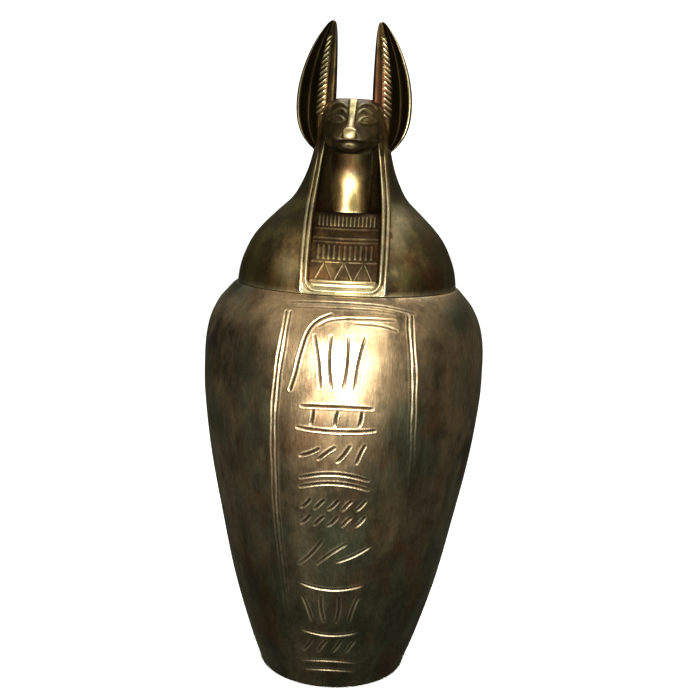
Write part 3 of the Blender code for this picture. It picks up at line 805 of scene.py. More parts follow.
divide_front(wig)
places = points_of(wig)
wig_reach = wig_front(places[:, 0], places[:, 2])
on_front = (places[:, 1] < FRONT_SKIN) & (abs(places[:, 1] + wig_reach) < SKIN_GAP)
on_front &= places[:, 2] > RIM_HEIGHT + RIM_ROUND / 2
places = snapped_to_edges(places, on_front)
x, height = places[:, 0], places[:, 2]
depth_in = inside_opening(x, height)
share = smooth_step(-WELD, EDGE_WIDTH, depth_in) * smooth_step(OPENING_TOP + TOP_EDGE, OPENING_TOP, height)
reach = wig_reach + (chest_front(x, height) - wig_reach) * share
places[on_front, 1] = -reach[on_front]
put_points(wig, places)
print("wig with its opening:", len(wig.faces), "faces")

# %% [markdown]
# Relief comes next, by moving the same points a little in or out. Two raised bands frame the opening:
# the inner one runs round it, and the outer one runs straight down to the rim. The collar has raised
# cross lines, two rows of upright bars and a row of peaks, which is a common pattern on such collars.

# %% Bands and collar
RIDGE_ROUND = 0.8
BAND_PLACES = (0.0012, 0.0041)
BAND_HALF = 0.0012
BAND_HEIGHT = 0.0011
BAND_FADE = (0.3340, 0.3460)
BAND_FOOT = 0.0016
COLLAR_LINES = (0.2938, 0.2884, 0.2862, 0.2750, 0.2644, 0.2622)
COLLAR_LINE_HALF = 0.0007
COLLAR_HEIGHT = 0.0005
# Each row of bars: height below, height above, spacing.
BAR_ROWS = ((0.2948, 0.3016, 0.0024), (0.2760, 0.2852, 0.0032))
BARS_HALF = 0.0180
BAR_END = 0.0008
BAR_POWER = 1.2
PEAK_COUNT = 3
PEAKS_HALF = 0.0176
PEAK_TOP = 0.2741
PEAK_FOOT = 0.2655
PEAK_HALF = 0.0006
PEAK_SPREAD = 0.42
PEAK_TIP = 0.0004
COLLAR_MARGIN = 0.0016
COLLAR_GAP = 0.0004


def raised(gap, half_width):
    """A rounded ridge's share of its height at a distance from its middle line."""
    return np.clip(1 - (gap / half_width) ** 2, 0.0, 1.0) ** RIDGE_ROUND


def band_relief(x, height, depth_in):
    """The two bands beside the opening; the outer one goes on down to the rim."""
    inner = raised(abs(depth_in + BAND_PLACES[0]), BAND_HALF)
    outer_gap = abs(abs(x) - along(OPENING_STATIONS, height) - BAND_PLACES[1])
    outer = raised(outer_gap, BAND_HALF)
    fade = 1 - smooth_step(*BAND_FADE, height)
    foot = smooth_step(RIM_HEIGHT, RIM_HEIGHT + BAND_FOOT, height)
    return BAND_HEIGHT * np.maximum(inner, outer * foot) * fade


def peak_paths():
    """The sloping sides of the peaks, as paths of (x, 0, height, strength)."""
    spacing = 2 * PEAKS_HALF / PEAK_COUNT
    paths = []
    for i in range(PEAK_COUNT):
        middle = spacing * (i + 0.5) - PEAKS_HALF
        for side in (-1, 1):
            foot = (middle + side * spacing * PEAK_SPREAD, 0.0, PEAK_FOOT, 1.0)
            paths.append([foot, (middle + side * PEAK_TIP, 0.0, PEAK_TOP, 1.0)])
    return paths


def collar_relief(x, height, depth_in):
    """Cross lines, bars and peaks on the chest."""
    relief = np.zeros(len(x))
    for line in COLLAR_LINES:
        relief = np.maximum(relief, raised(abs(height - line), COLLAR_LINE_HALF))
    for low, high, spacing in BAR_ROWS:
        row = smooth_step(low, low + BAR_END, height) * (1 - smooth_step(high - BAR_END, high, height))
        bar = abs(np.cos(math.pi * x / spacing)) ** BAR_POWER
        relief = np.maximum(relief, row * bar * (abs(x) < BARS_HALF))
    flat = np.stack([x, np.zeros(len(x)), height], axis=1)
    gap, strength = nearness(flat, peak_paths())
    relief = np.maximum(relief, raised(gap, PEAK_HALF) * strength)
    return COLLAR_HEIGHT * relief * smooth_step(COLLAR_MARGIN / 2, COLLAR_MARGIN, depth_in)


bands = band_relief(x, height, depth_in) * (1 - share)
collar = collar_relief(x, height, depth_in) * (height < THROAT_BOTTOM - COLLAR_GAP)
lift = np.where(on_front, bands + collar, 0.0)
places[:, 1] -= lift
put_points(wig, places)
print("the bands and the collar stand up to", round(float(lift.max()) * 1000, 2), "mm proud")

# %% [markdown]
# The head is a loft: a grid is rolled into a tube along Y, and each row takes the section of its
# station, a rounded block that is pinched towards the bridge of the muzzle. Sections are the natural
# way to read a muzzle, because its width, top and chin change together from the nose to the crown.
# The columns of the grid stand closer over the face and its rows closer at the tip, for their relief.

# %% The head as a loft
# Each row: place along Y, half width, top, bottom, squareness, pinch of the upper half.
HEAD_STATIONS = (
    (-0.0548, 0.0046, 0.3513, 0.3436, 2.2, 0.10),
    (-0.0530, 0.0062, 0.3522, 0.3413, 2.4, 0.30),
    (-0.0485, 0.0075, 0.3533, 0.3401, 2.4, 0.55),
    (-0.0410, 0.0086, 0.3554, 0.3392, 2.3, 0.66),
    (-0.0320, 0.0108, 0.3593, 0.3387, 2.2, 0.64),
    (-0.0240, 0.0142, 0.3645, 0.3383, 2.3, 0.42),
    (-0.0175, 0.0178, 0.3692, 0.3379, 2.7, 0.15),
    (-0.0120, 0.0191, 0.3714, 0.3381, 3.2, 0.00),
    (-0.0040, 0.0191, 0.3725, 0.3392, 3.4, 0.00),
    (0.0100, 0.0177, 0.3700, 0.3430, 2.8, 0.00),
)
HEAD_AROUND = 144
HEAD_ROWS = 146
HEAD_COLUMNS = 0.62
HEAD_DENSER = 1.35
TIP_ROWS = 0.17
TIP_ROUND = 0.0026


def rolled(rows, around, section):
    """A closed tube from a grid: section(row share, angle) gives the place of each point."""
    shape = bmesh.new()
    bmesh.ops.create_grid(shape, x_segments=around, y_segments=rows, size=0.5)
    places = points_of(shape)
    turn = (places[:, 0] + 0.5) * math.tau
    share = places[:, 1] + 0.5
    put_points(shape, section(share, turn))
    bmesh.ops.remove_doubles(shape, verts=shape.verts, dist=WELD)
    open_edges = [edge for edge in shape.edges if edge.is_boundary]
    if open_edges:
        bmesh.ops.holes_fill(shape, edges=open_edges, sides=0)
    bmesh.ops.recalc_face_normals(shape, faces=shape.faces)
    return shape


def rounded_off(distance, radius):
    """How much a section shrinks at a distance from a round end: 0 at the end and 1 past its radius."""
    near = np.clip(distance / radius, 0.0, 1.0)
    return np.sqrt(np.clip(1 - (1 - near) ** 2, 0.0, 1.0))


def head_section(share, turn):
    """Points of the head's sections, from the round tip of the muzzle to the back of the crown."""
    off_top = 1 - abs(1 - turn / math.pi)
    quarter = np.clip(off_top / HEAD_COLUMNS, 0.0, 1.0) ** HEAD_DENSER
    below = np.clip((off_top - HEAD_COLUMNS) / (1 - HEAD_COLUMNS), 0.0, 1.0)
    turn = math.pi + np.sign(turn - math.pi) * (math.pi - (quarter + below) * math.pi / 2)
    first, last = HEAD_STATIONS[0][0], HEAD_STATIONS[-1][0]
    round_part = TIP_ROUND * (np.minimum(share, TIP_ROWS) / TIP_ROWS) ** 2
    straight_part = (last - first - TIP_ROUND) * np.maximum(share - TIP_ROWS, 0.0) / (1 - TIP_ROWS)
    reach = first + round_part + straight_part
    half, top, bottom, square, pinch = (along(HEAD_STATIONS, reach, column) for column in range(1, 6))
    shrink = rounded_off(reach - first, TIP_ROUND)
    across, up = np.sin(turn), np.cos(turn)
    level = np.sign(up) * abs(up) ** (2 / square)
    x = half * np.sign(across) * abs(across) ** (2 / square) * (1 - pinch * np.maximum(level, 0.0))
    height = (top + bottom) / 2 + (top - bottom) / 2 * level * shrink
    return np.stack([x * shrink, reach, height], axis=1)


head = rolled(HEAD_ROWS, HEAD_AROUND, head_section)
print("head:", len(head.faces), "faces, open edges", sum(edge.is_boundary for edge in head.edges))

# %% [markdown]
# The face is drawn with the same tool as the panel, but raised as well as pressed: brows and eyelids
# stand proud, and the mouth is a groove that runs back along both sides. Each path lies exactly on the
# head, because its points are found by a ray that is shot at the head's mesh from in front or from the
# side. So the lines follow by themselves when a section of the head is changed.

# %% The lines of the face
LID_LINE = ((0.0042, 0.3574), (0.0062, 0.3597), (0.0094, 0.3607), (0.0124, 0.3598), (0.0150, 0.3584))
LOWER_LID_LINE = ((0.0042, 0.3574), (0.0070, 0.3564), (0.0102, 0.3565), (0.0132, 0.3576), (0.0150, 0.3584))
CREASE_LINE = ((0.0036, 0.3626), (0.0052, 0.3645), (0.0076, 0.3652), (0.0102, 0.3644), (0.0126, 0.3622))
BROW_LINE = ((0.0034, 0.3664), (0.0058, 0.3683), (0.0090, 0.3689), (0.0122, 0.3682), (0.0150, 0.3658))
# Each raised line of the face: its path, half width and height.
FACE_LINES = (
    (LID_LINE, 0.0010, 0.0012),
    (LOWER_LID_LINE, 0.0010, 0.0011),
    (CREASE_LINE, 0.0010, 0.0008),
    (BROW_LINE, 0.0011, 0.0009),
)
FACE_POINTS = 22
FACE_ENDS = 0.35
MOUTH_LINE = ((0.0, 0.3458), (0.0028, 0.3458), (0.0050, 0.3457), (0.0064, 0.3455))
MOUTH_SIDE = ((-0.0500, 0.3455), (-0.0440, 0.3457), (-0.0380, 0.3462), (-0.0320, 0.3474))
MOUTH_POINTS = (12, 16)
MOUTH_END = 0.3
MOUTH_HALF = 0.0006
MOUTH_DEPTH = 0.0006
FAR = 0.2


def hit_from_front(tree, x, height):
    """The point of the head that is seen in front at a distance from the middle and a height."""
    return tree.ray_cast((x, -FAR, height), (0, 1, 0))[0]


def hit_from_side(tree, side, reach, height):
    """The point of the head that is seen from the side."""
    return tree.ray_cast((side * FAR, reach, height), (-side, 0, 0))[0]


def face_path(tree, line, side):
    """A smooth path on the head through a few (x, height) points, thinner at its ends."""
    rows = [(float(k), side * x, height) for k, (x, height) in enumerate(line)]
    last = len(line) - 1
    path = []
    for t in np.linspace(0.0, float(last), FACE_POINTS):
        taper = FACE_ENDS + (1 - FACE_ENDS) * math.sin(math.pi * t / last) ** 0.5
        path.append((*hit_from_front(tree, float(along(rows, t, 1)), float(along(rows, t, 2))), taper))
    return path


def mouth_path(tree, side):
    """One half of the mouth: from the middle in front, round the tip and back along the side."""
    in_front, beside = MOUTH_POINTS
    path = []
    for x in np.linspace(0.0, MOUTH_LINE[-1][0], in_front):
        path.append((*hit_from_front(tree, side * float(x), float(along(MOUTH_LINE, x))), 1.0))
    for t in np.linspace(0.0, 1.0, beside):
        reach = MOUTH_SIDE[0][0] + (MOUTH_SIDE[-1][0] - MOUTH_SIDE[0][0]) * t
        strength = 1 + (MOUTH_END - 1) * t
        path.append((*hit_from_side(tree, side, float(reach), float(along(MOUTH_SIDE, reach))), strength))
    return path


head_tree = BVHTree.FromBMesh(head)
print("the mouth's middle is at y =", round(hit_from_front(head_tree, *MOUTH_LINE[0])[1], 4))

# %% [markdown]
# Besides the lines, the face has a few soft forms: the raised blaze that widens to the nose, low oval
# eyes, and round pads for the nose and the chin, with two small dents for the nostrils. The lower jaw is
# first set back a little, as a jackal's is. One pass of smoothing at the end takes small steps off the
# relief, as a polishing wheel would.

# %% The relief of the face
# Each row: place along Y and half width of the blaze.
BLAZE = (
    (-0.0530, 0.0028),
    (-0.0480, 0.0020),
    (-0.0410, 0.0012),
    (-0.0320, 0.0011),
    (-0.0240, 0.0014),
    (-0.0175, 0.0017),
    (-0.0120, 0.0018),
)
BLAZE_EDGE = 0.0013
BLAZE_HEIGHT = 0.0009
BLAZE_BELOW = (0.0060, 0.0015)
BLAZE_BACK = (-0.0085, -0.0150)
EYE_PLACE = (0.0096, 0.3583)
EYE_SIZE = (0.0046, 0.0022)
EYE_TILT = 0.06
EYE_HEIGHT = 0.0012
EYES_FRONT = -0.0120
EYES_LOWEST = 0.3500
# Each pad: place, size, how it is stretched, share of its size that is flat, height.
PADS = (
    ((0.0, -0.0545, 0.3490), 0.0057, (1.15, 1.0, 0.75), 0.45, 0.0005),
    ((0.0, -0.0535, 0.3428), 0.0050, (1.20, 1.0, 0.60), 0.30, 0.0008),
    ((-0.0021, -0.0556, 0.3482), 0.0010, (1.0, 1.0, 1.0), 0.0, -0.0005),
    ((0.0021, -0.0556, 0.3482), 0.0010, (1.0, 1.0, 1.0), 0.0, -0.0005),
)
JAW_HEIGHTS = (0.3461, 0.3450)
JAW_REACH = (-0.0350, -0.0500)
JAW_NARROWER = 0.14
JAW_SHORTER = 0.0012
SMOOTHING = 0.5


def set_back_jaw(shape):
    """Makes the lower jaw a little shorter and narrower than the upper one."""
    places = points_of(shape)
    jaw = smooth_step(*JAW_HEIGHTS, places[:, 2]) * smooth_step(*JAW_REACH, places[:, 1])
    places[:, 0] *= 1 - JAW_NARROWER * jaw
    places[:, 1] += JAW_SHORTER * jaw
    put_points(shape, places)


def eye_oval(side, x, reach, height):
    """One eye as a low oval, tilted a little towards the nose."""
    across = side * x - EYE_PLACE[0]
    up = (height - EYE_PLACE[1] - EYE_TILT * across) / EYE_SIZE[1]
    oval = np.clip(1 - (across / EYE_SIZE[0]) ** 2 - up**2, 0.0, 1.0)
    return EYE_HEIGHT * oval * (reach < EYES_FRONT) * (height > EYES_LOWEST)


def face_relief(shape):
    """How far each point of the head moves out along its normal."""
    tree = BVHTree.FromBMesh(shape)
    places = points_of(shape)
    x, reach, height = places.T
    relief = np.zeros(len(places))
    for side in (-1, 1):
        for line, half, lift in FACE_LINES:
            gap, strength = nearness(places, [face_path(tree, line, side)])
            relief = np.maximum(relief, lift * strength * raised(gap, half))
        relief = np.maximum(relief, eye_oval(side, x, reach, height))
    below = along(HEAD_STATIONS, reach, 2) - height
    on_top = smooth_step(*BLAZE_BELOW, below) * smooth_step(*BLAZE_BACK, reach)
    blaze = smooth_step(BLAZE_EDGE, 0.0, abs(x) - along(BLAZE, reach)) * on_top
    relief = np.maximum(relief, BLAZE_HEIGHT * blaze)
    for place, size, stretch, flat, lift in PADS:
        gap = np.linalg.norm((places - np.array(place)) / np.array(stretch), axis=1)
        relief = relief + lift * smooth_step(size, size * flat, gap)
    gap, strength = nearness(places, [mouth_path(tree, -1), mouth_path(tree, 1)])
    return relief - MOUTH_DEPTH * strength * hollowed(gap, MOUTH_HALF)


set_back_jaw(head)
head.normal_update()
head_normals = np.array([vert.normal for vert in head.verts])
head_lift = face_relief(head)
put_points(head, points_of(head) + head_normals * head_lift[:, None])
bmesh.ops.smooth_vert(
    head, verts=head.verts, factor=SMOOTHING, use_axis_x=True, use_axis_y=True, use_axis_z=True
)
print("face relief from", round(head_lift.min() * 1000, 2), "to", round(head_lift.max() * 1000, 2), "mm")

# %% [markdown]
# An ear is a deep cup that narrows upwards to a point. Its section is a closed curve with an inner
# edge, a rounded back, an outer rim and the hollow in front. The same rolled grid makes it, row by
# row, and slanted ridges stand on the wall of the cup beside the inner edge, like a feather's barbs.
# The section is given once, in shares of the ear's width and depth, and every row stretches it.

# %% The ears
# Each row: height, inner edge, outer edge, front, depth.
EAR_STATIONS = (
    (0.3405, 0.0166, 0.0246, -0.0030, 0.0060),
    (0.3440, 0.0149, 0.0282, -0.0055, 0.0110),
    (0.3500, 0.0135, 0.0325, -0.0075, 0.0150),
    (0.3580, 0.0124, 0.0353, -0.0085, 0.0175),
    (0.3680, 0.0114, 0.0362, -0.0085, 0.0180),
    (0.3780, 0.0112, 0.0355, -0.0080, 0.0170),
    (0.3880, 0.0113, 0.0334, -0.0070, 0.0150),
    (0.3980, 0.0115, 0.0300, -0.0058, 0.0125),
    (0.4070, 0.0118, 0.0258, -0.0045, 0.0095),
    (0.4140, 0.0123, 0.0214, -0.0032, 0.0065),
    (0.4200, 0.0134, 0.0168, -0.0016, 0.0030),
)
EAR_SECTION = (
    (0.00, 0.25),
    (0.06, 0.62),
    (0.25, 0.92),
    (0.50, 1.00),
    (0.76, 0.90),
    (0.94, 0.62),
    (1.00, 0.32),
    (0.96, 0.03),
    (0.89, 0.10),
    (0.83, 0.50),
    (0.71, 0.72),
    (0.58, 0.50),
    (0.44, 0.23),
    (0.22, 0.06),
    (0.06, 0.00),
)
EAR_AROUND = 92
EAR_COLUMNS = ((0.0, 0.58, 0.89, 1.0), (0.0, 0.72, 0.89, 1.0))
EAR_ROWS = 190
EAR_TIP = (0.0151, 0.0002)
EAR_TIP_ROUND = 0.0022
CUP_FRONT = 0.72
CUP_MARGIN = 0.05
RIDGE_PITCH = 0.0034
RIDGE_BOTTOM = (0.3600, 0.3620)
RIDGE_TOP = (0.4110, 0.4090)
RIDGE_SLOPE = 0.0190
RIDGE_HEIGHT = 0.0011
RIDGE_POWER = 1.3
RIDGED_PART = (0.25, 0.55)
RIDGE_ENDS = (0.04, 0.06)
RIDGE_OUT = (0.55, -0.83)
RIM_GROOVE = 0.0005
RIM_GROOVE_HALF = 0.03


def closed_curve(points, t):
    """Places on a smooth closed curve through points, with t from 0 to 1 once round."""
    points = np.array(points, dtype=float)
    count = len(points)
    position = (t % 1.0) * count
    k = np.floor(position).astype(int)
    s = (position - k)[:, None]
    before, start, end, after = (points[(k + shift) % count] for shift in (-1, 0, 1, 2))
    return 0.5 * (
        2 * start
        + (end - before) * s
        + (2 * before - 5 * start + 4 * end - after) * s**2
        + (3 * start - before - 3 * end + after) * s**3
    )


def ear_section(side):
    """The section function of one ear, with its ridges already raised."""

    def section(share, turn):
        height = EAR_STATIONS[0][0] + (EAR_STATIONS[-1][0] - EAR_STATIONS[0][0]) * share
        inner, outer, front, depth = (along(EAR_STATIONS, height, column) for column in (1, 2, 3, 4))
        u, v = closed_curve(EAR_SECTION, np.interp(turn / math.tau, *EAR_COLUMNS)).T
        low, high = RIDGED_PART
        inside = (v < CUP_FRONT) & (u < high + CUP_MARGIN)
        phase = (height + RIDGE_SLOPE * (u - low)) / RIDGE_PITCH
        bar = (np.cos(math.tau * phase) * 0.5 + 0.5) ** RIDGE_POWER
        strip = smooth_step(low, low + RIDGE_ENDS[0], u) * smooth_step(high, high - RIDGE_ENDS[1], u)
        groove = np.exp(-(((u - low) / RIM_GROOVE_HALF) ** 2))
        upward = smooth_step(*RIDGE_BOTTOM, height) * smooth_step(*RIDGE_TOP, height)
        lift = (RIDGE_HEIGHT * bar * strip - RIM_GROOVE * groove) * inside * upward
        x = inner + (outer - inner) * u + lift * RIDGE_OUT[0]
        y = front + depth * v + lift * RIDGE_OUT[1]
        shrink = rounded_off(EAR_STATIONS[-1][0] - height, EAR_TIP_ROUND)
        x = EAR_TIP[0] + (x - EAR_TIP[0]) * shrink
        y = EAR_TIP[1] + (y - EAR_TIP[1]) * shrink
        return np.stack([side * x, y, height], axis=1)

    return section


ears = [rolled(EAR_ROWS, EAR_AROUND, ear_section(side)) for side in (-1, 1)]
for ear in ears:
    print("ear:", len(ear.faces), "faces, open edges", sum(edge.is_boundary for edge in ear.edges))

# %% [markdown]
# The lid is one casting, so its parts become one closed skin. A Boolean union keeps each surface as it
# is and only trims them where they meet, which suits a polished metal: a voxel remesh would also join
# them, but it leaves small steps that a glossy reflection shows at once. A Boolean too lists its points
# and faces in another order on each run, so they are sorted before and after close points are merged.

# %% One skin for the lid


def joined(name, base, others):
    """The union of closed skins as one bmesh."""
    target = piece(name, base, {})
    for i, other in enumerate(others):
        tool = piece(f"{name}_{i}", other, {})
        union = target.modifiers.new(f"join {i}", "BOOLEAN")
        union.operation = "UNION"
        union.solver = "EXACT"
        union.object = tool
    graph = bpy.context.evaluated_depsgraph_get()
    mesh = bpy.data.meshes.new_from_object(target.evaluated_get(graph))
    for obj in [target] + [modifier.object for modifier in target.modifiers]:
        bpy.data.objects.remove(obj, do_unlink=True)
    shape = bmesh.new()
    shape.from_mesh(mesh)
    bpy.data.meshes.remove(mesh)
    shape = in_order(shape)
    bmesh.ops.remove_doubles(shape, verts=shape.verts, dist=WELD)
    return in_order(shape)


lid_skin = joined("lid_parts", wig, [head, *ears])
print("lid skin:", len(lid_skin.faces), "faces,", round(lid_skin.calc_volume() * 1e6), "cubic cm")
print("open edges:", sum(not edge.is_manifold for edge in lid_skin.edges))

# %% [markdown]
# Bronze is rubbed bright where it stands proud and keeps its dark patina where it lies deep. Both are
# read from the shape itself: where a point's neighbours lie below it the metal is raised, and where
# they lie above it the metal is hollow. A little averaging gives each mask a soft edge.

# %% Where the metal is raised or hollow
CURVED = 260.0
AVERAGING = 3


def raised_and_hollow(shape):
    """Two values from 0 to 1 for each vertex: bright from rubbing where raised, and dark where hollow."""
    shape.verts.ensure_lookup_table()
    shape.normal_update()
    places = points_of(shape)
    normals = np.array([vert.normal for vert in shape.verts])
    ends = np.array([[edge.verts[0].index, edge.verts[1].index] for edge in shape.edges])
    way = places[ends[:, 1]] - places[ends[:, 0]]
    square = np.maximum((way**2).sum(axis=1), WELD**2)
    count = np.zeros(len(places))
    bend = np.zeros(len(places))
    for end, sign in ((0, 1.0), (1, -1.0)):
        np.add.at(bend, ends[:, end], sign * (way * normals[ends[:, end]]).sum(axis=1) / square)
        np.add.at(count, ends[:, end], 1.0)
    bend /= np.maximum(count, 1.0)
    for _ in range(AVERAGING):
        total = bend.copy()
        np.add.at(total, ends[:, 0], bend[ends[:, 1]])
        np.add.at(total, ends[:, 1], bend[ends[:, 0]])
        bend = total / (count + 1)
    return np.clip(-bend / CURVED, 0.0, 1.0), np.clip(bend / CURVED, 0.0, 1.0)


lid_skin.verts.index_update()
lid_places = points_of(lid_skin)
rubbed_and_highlights, hollow = raised_and_hollow(lid_skin)
print("share raised", round(float(rubbed_and_highlights.mean()), 3), "share hollow", round(float(hollow.mean()), 3))

# %% [markdown]
# Some places are dark for another reason than their curve. The ground of the collar grows darker towards
# the throat, partly as patina and partly as painted shade. Beside the throat, on its sides and on its top
# under the jaw, the dark is painted shade. The cups of the ears hold patina and painted shade, the left
# ear's outer rim painted shade, and the face's patina is old. Each of these places is described by its
# own ranges of width, reach and height.

# %% Where the lid is dark
CUP_ACROSS = (0.45, 0.54, 0.97, 0.90)
CUP_DEPTH = (0.04, 0.14)
CUP_BACK = 0.80
EAR_LIMITS = (0.3430, -0.0020, -0.05, 1.08)
INNER_EDGE = (0.24, 0.20)
OUTER_EDGE = (0.88, 0.94)
OUTER_SHARE = 0.8
EDGE_DARKNESS = 0.70
COLLAR_GROUND_SHADE = ((0.2560, 0.00), (0.2640, 0.05), (0.2730, 0.40), (0.2800, 0.60), (0.3030, 0.62))
COLLAR_BEHIND = (0.0008, 0.0020)
COLLAR_LIMITS = (-0.0080, 0.3465)
BESIDE_THROAT_SHADE = 0.9
THROAT_EDGE = 0.985
THROAT_FOOT = 0.0002
THROAT_SHADE = 0.85
THROAT_TOP = (0.3190, 0.3330)
THROAT_SIDE_SHADE = 0.60
THROAT_SIDES = (0.5, 0.95)
JAW_SHADE = (0.3270, 0.3345)
JAW_SHADE_TOP = (0.3430, 0.3400)
JAW_SHADE_SIDES = (1.05, 0.80)
JAW_SHADE_REACH = (-0.0388, -0.0200)
CLEARLY_DARK = 0.3


def ear_patina_and_shade(places):
    """Dark in the ears' cups with patina and painted shade, along the inner edges, and on the left ear's
    outer rim as painted shade; and the cups alone.
    """
    x, reach, height = places.T
    lowest, behind, inmost, deepest = EAR_LIMITS
    inner, outer, front, depth = (along(EAR_STATIONS, height, column) for column in (1, 2, 3, 4))
    u, v = (abs(x) - inner) / (outer - inner), (reach - front) / depth
    in_ear = (height > lowest) & (reach > front + behind) & (u > inmost) & (v < deepest)
    cup = smooth_step(*CUP_ACROSS[:2], u) * smooth_step(*CUP_ACROSS[2:], u)
    cup = cup * smooth_step(*CUP_DEPTH, v) * (v < CUP_BACK)
    # Painted shade on the left ear's outer rim only.
    outer_edge = OUTER_SHARE * smooth_step(*OUTER_EDGE, u) * (x < 0)
    edge = EDGE_DARKNESS * np.maximum(smooth_step(*INNER_EDGE, u), outer_edge)
    return np.where(in_ear, np.maximum(cup, edge), 0.0), np.where(in_ear, cup, 0.0)


def collar_patina_and_shade(places):
    """Dark on the collar's ground, growing towards the throat as patina and painted shade, and painted
    shade beside the throat, on its sides and on its top.
    """
    x, reach, height = places.T
    behind = smooth_step(*COLLAR_BEHIND, wig_front(x, height) + reach) * (inside_opening(x, height) > 0)
    aside = abs(x - THROAT_MIDDLE) / THROAT_RADIUS
    throat = (aside < THROAT_EDGE) & (height > THROAT_BOTTOM + THROAT_FOOT)
    top, sides = smooth_step(*THROAT_TOP, height), smooth_step(*THROAT_SIDES, aside)
    column = np.maximum(THROAT_SHADE * top, THROAT_SIDE_SHADE * sides)
    # Painted shade beside the throat; on the collar's ground a darkening towards the throat, partly patina
    # and partly painted shade.
    beside = np.where(height > THROAT_BOTTOM, BESIDE_THROAT_SHADE, along(COLLAR_GROUND_SHADE, height)) * behind
    front, highest = COLLAR_LIMITS
    return np.where(throat, column, beside) * (reach < front) * (height < highest)


def under_jaw(places):
    """Painted shade where the throat goes back under the jaw."""
    x, reach, height = places.T
    ahead, back = JAW_SHADE_REACH
    column = smooth_step(*JAW_SHADE_SIDES, abs(x - THROAT_MIDDLE) / THROAT_RADIUS)
    column = column * (reach < back) * (reach > ahead)
    return column * smooth_step(*JAW_SHADE, height) * smooth_step(*JAW_SHADE_TOP, height)


ears_dark, cups = ear_patina_and_shade(lid_places)
collar_dark = collar_patina_and_shade(lid_places)
jaw_shade = under_jaw(lid_places)
for name, values in (("ears", ears_dark), ("collar", collar_dark), ("jaw", jaw_shade)):
    print(name, "dark points:", int((values > CLEARLY_DARK).sum()))

# %% [markdown]
# The face is dark too, but its blaze and the tip of the muzzle are lighter, partly because they stand
# out furthest and every cloth catches them, and partly as a painted highlight. The wig's sides and back
# are darker with some green in them, partly as old patina and partly as painted shade that darkens the
# flanks.

# %% The face and the wig
FACE_AGE = 0.66
MUZZLE_TIP_DARKNESS = 0.12
FACE_BACK = (-0.0080, -0.0140)
FACE_BOTTOM = (0.3370, 0.3385)
FACE_SIDES = (0.0215, 0.0195)
CROWN_BOTTOM = (0.3640, 0.3680)
CROWN_SIDES = 0.0175
CROWN_BACK = 0.0120
BLAZE_RUB_AND_HIGHLIGHT = (0.0010, 0.0002)
BLAZE_BOTTOM = 0.3500
MUZZLE = (-0.0440, -0.0520)
MUZZLE_BOTTOM = 0.3405
LOW_WIG = (-0.0600, -0.0260)
LOW_WIG_TOP = 0.3000
HIGH_WIG = (0.2900, 0.3100)
HIGH_WIG_SIDES = (0.0190, 0.0240)
WIG_BACK = (-0.0100, 0.0200)
WIG_BACK_LIGHTENING = 0.4
BANDS_WIDTH = 0.0055


def face_age(places):
    """Dark on the face and crown, lighter on the blaze and the nose, partly as a painted highlight, and
    the face's dark part alone.
    """
    x, reach, height = places.T
    face = smooth_step(*FACE_BACK, reach) * smooth_step(*FACE_SIDES, abs(x))
    face = face * smooth_step(*FACE_BOTTOM, height)
    crown = smooth_step(*CROWN_BOTTOM, height) * (abs(x) < CROWN_SIDES) * (reach < CROWN_BACK)
    # The blaze and the muzzle tip stay lighter, partly as a painted highlight.
    blaze = smooth_step(*BLAZE_RUB_AND_HIGHLIGHT, abs(x) - along(BLAZE, reach)) * (height > BLAZE_BOTTOM)
    muzzle = smooth_step(*MUZZLE, reach) * (height > MUZZLE_BOTTOM)
    dull = np.maximum(face, crown) * (1 - blaze)
    return dull * (FACE_AGE + (MUZZLE_TIP_DARKNESS - FACE_AGE) * muzzle), dull * (1 - muzzle)


def wig_patina_and_shade(places):
    """Darker on the sides and back of the wig, partly old patina and partly painted shade of the flanks,
    and a little less dark at the back.
    """
    x, reach, height = places.T
    low = smooth_step(*LOW_WIG, reach) * (height < LOW_WIG_TOP)
    high = smooth_step(*HIGH_WIG, height) * smooth_step(*HIGH_WIG_SIDES, abs(x))
    lightened = 1 - WIG_BACK_LIGHTENING * smooth_step(*WIG_BACK, reach)
    return np.maximum(low, high) * lightened * (abs(x) > along(OPENING_STATIONS, height) + BANDS_WIDTH)


face_dark, on_face = face_age(lid_places)
wig_sides_dark = wig_patina_and_shade(lid_places)
for name, values in (("face", face_dark), ("wig", wig_sides_dark)):
    print(name, "dark points:", int((values > CLEARLY_DARK).sum()))

# %% [markdown]
# Bright places are the opposite: the two bands and the lower border are what a hand holds when the lid
# is lifted, and the border also carries a painted highlight. A few soft patches on the wig are painted
# highlights, and a few others are painted shade and a painted dark reflection. The bands end dull at
# their tops, where fingers don't reach. All the values then come together, and the dark ones give way
# to the bright.

# %% Where the lid is rubbed, and its painted highlights and shade
LEFT_BAND_TOP = (0.3190, 0.3060)
RIGHT_BAND_TOP = (0.3300, 0.3180)
BAND_LIMITS = (-0.0100, 0.0004, 0.3450)
BAND_RUB = 0.85
BORDER_RUB = 0.8
BORDER_HEIGHTS = (0.2645, 0.2615)
BORDER_HALF = 0.0250
BORDER_FRONT = -0.0550
# Painted highlights on the wig beside the bands.
LID_PAINTED_HIGHLIGHTS = (
    (0.0310, 0.2940, 0.0080, 0.0150, 0.50),
    (-0.0330, 0.2690, 0.0080, 0.0100, 0.42),
    (0.0300, 0.2700, 0.0070, 0.0080, 0.22),
)
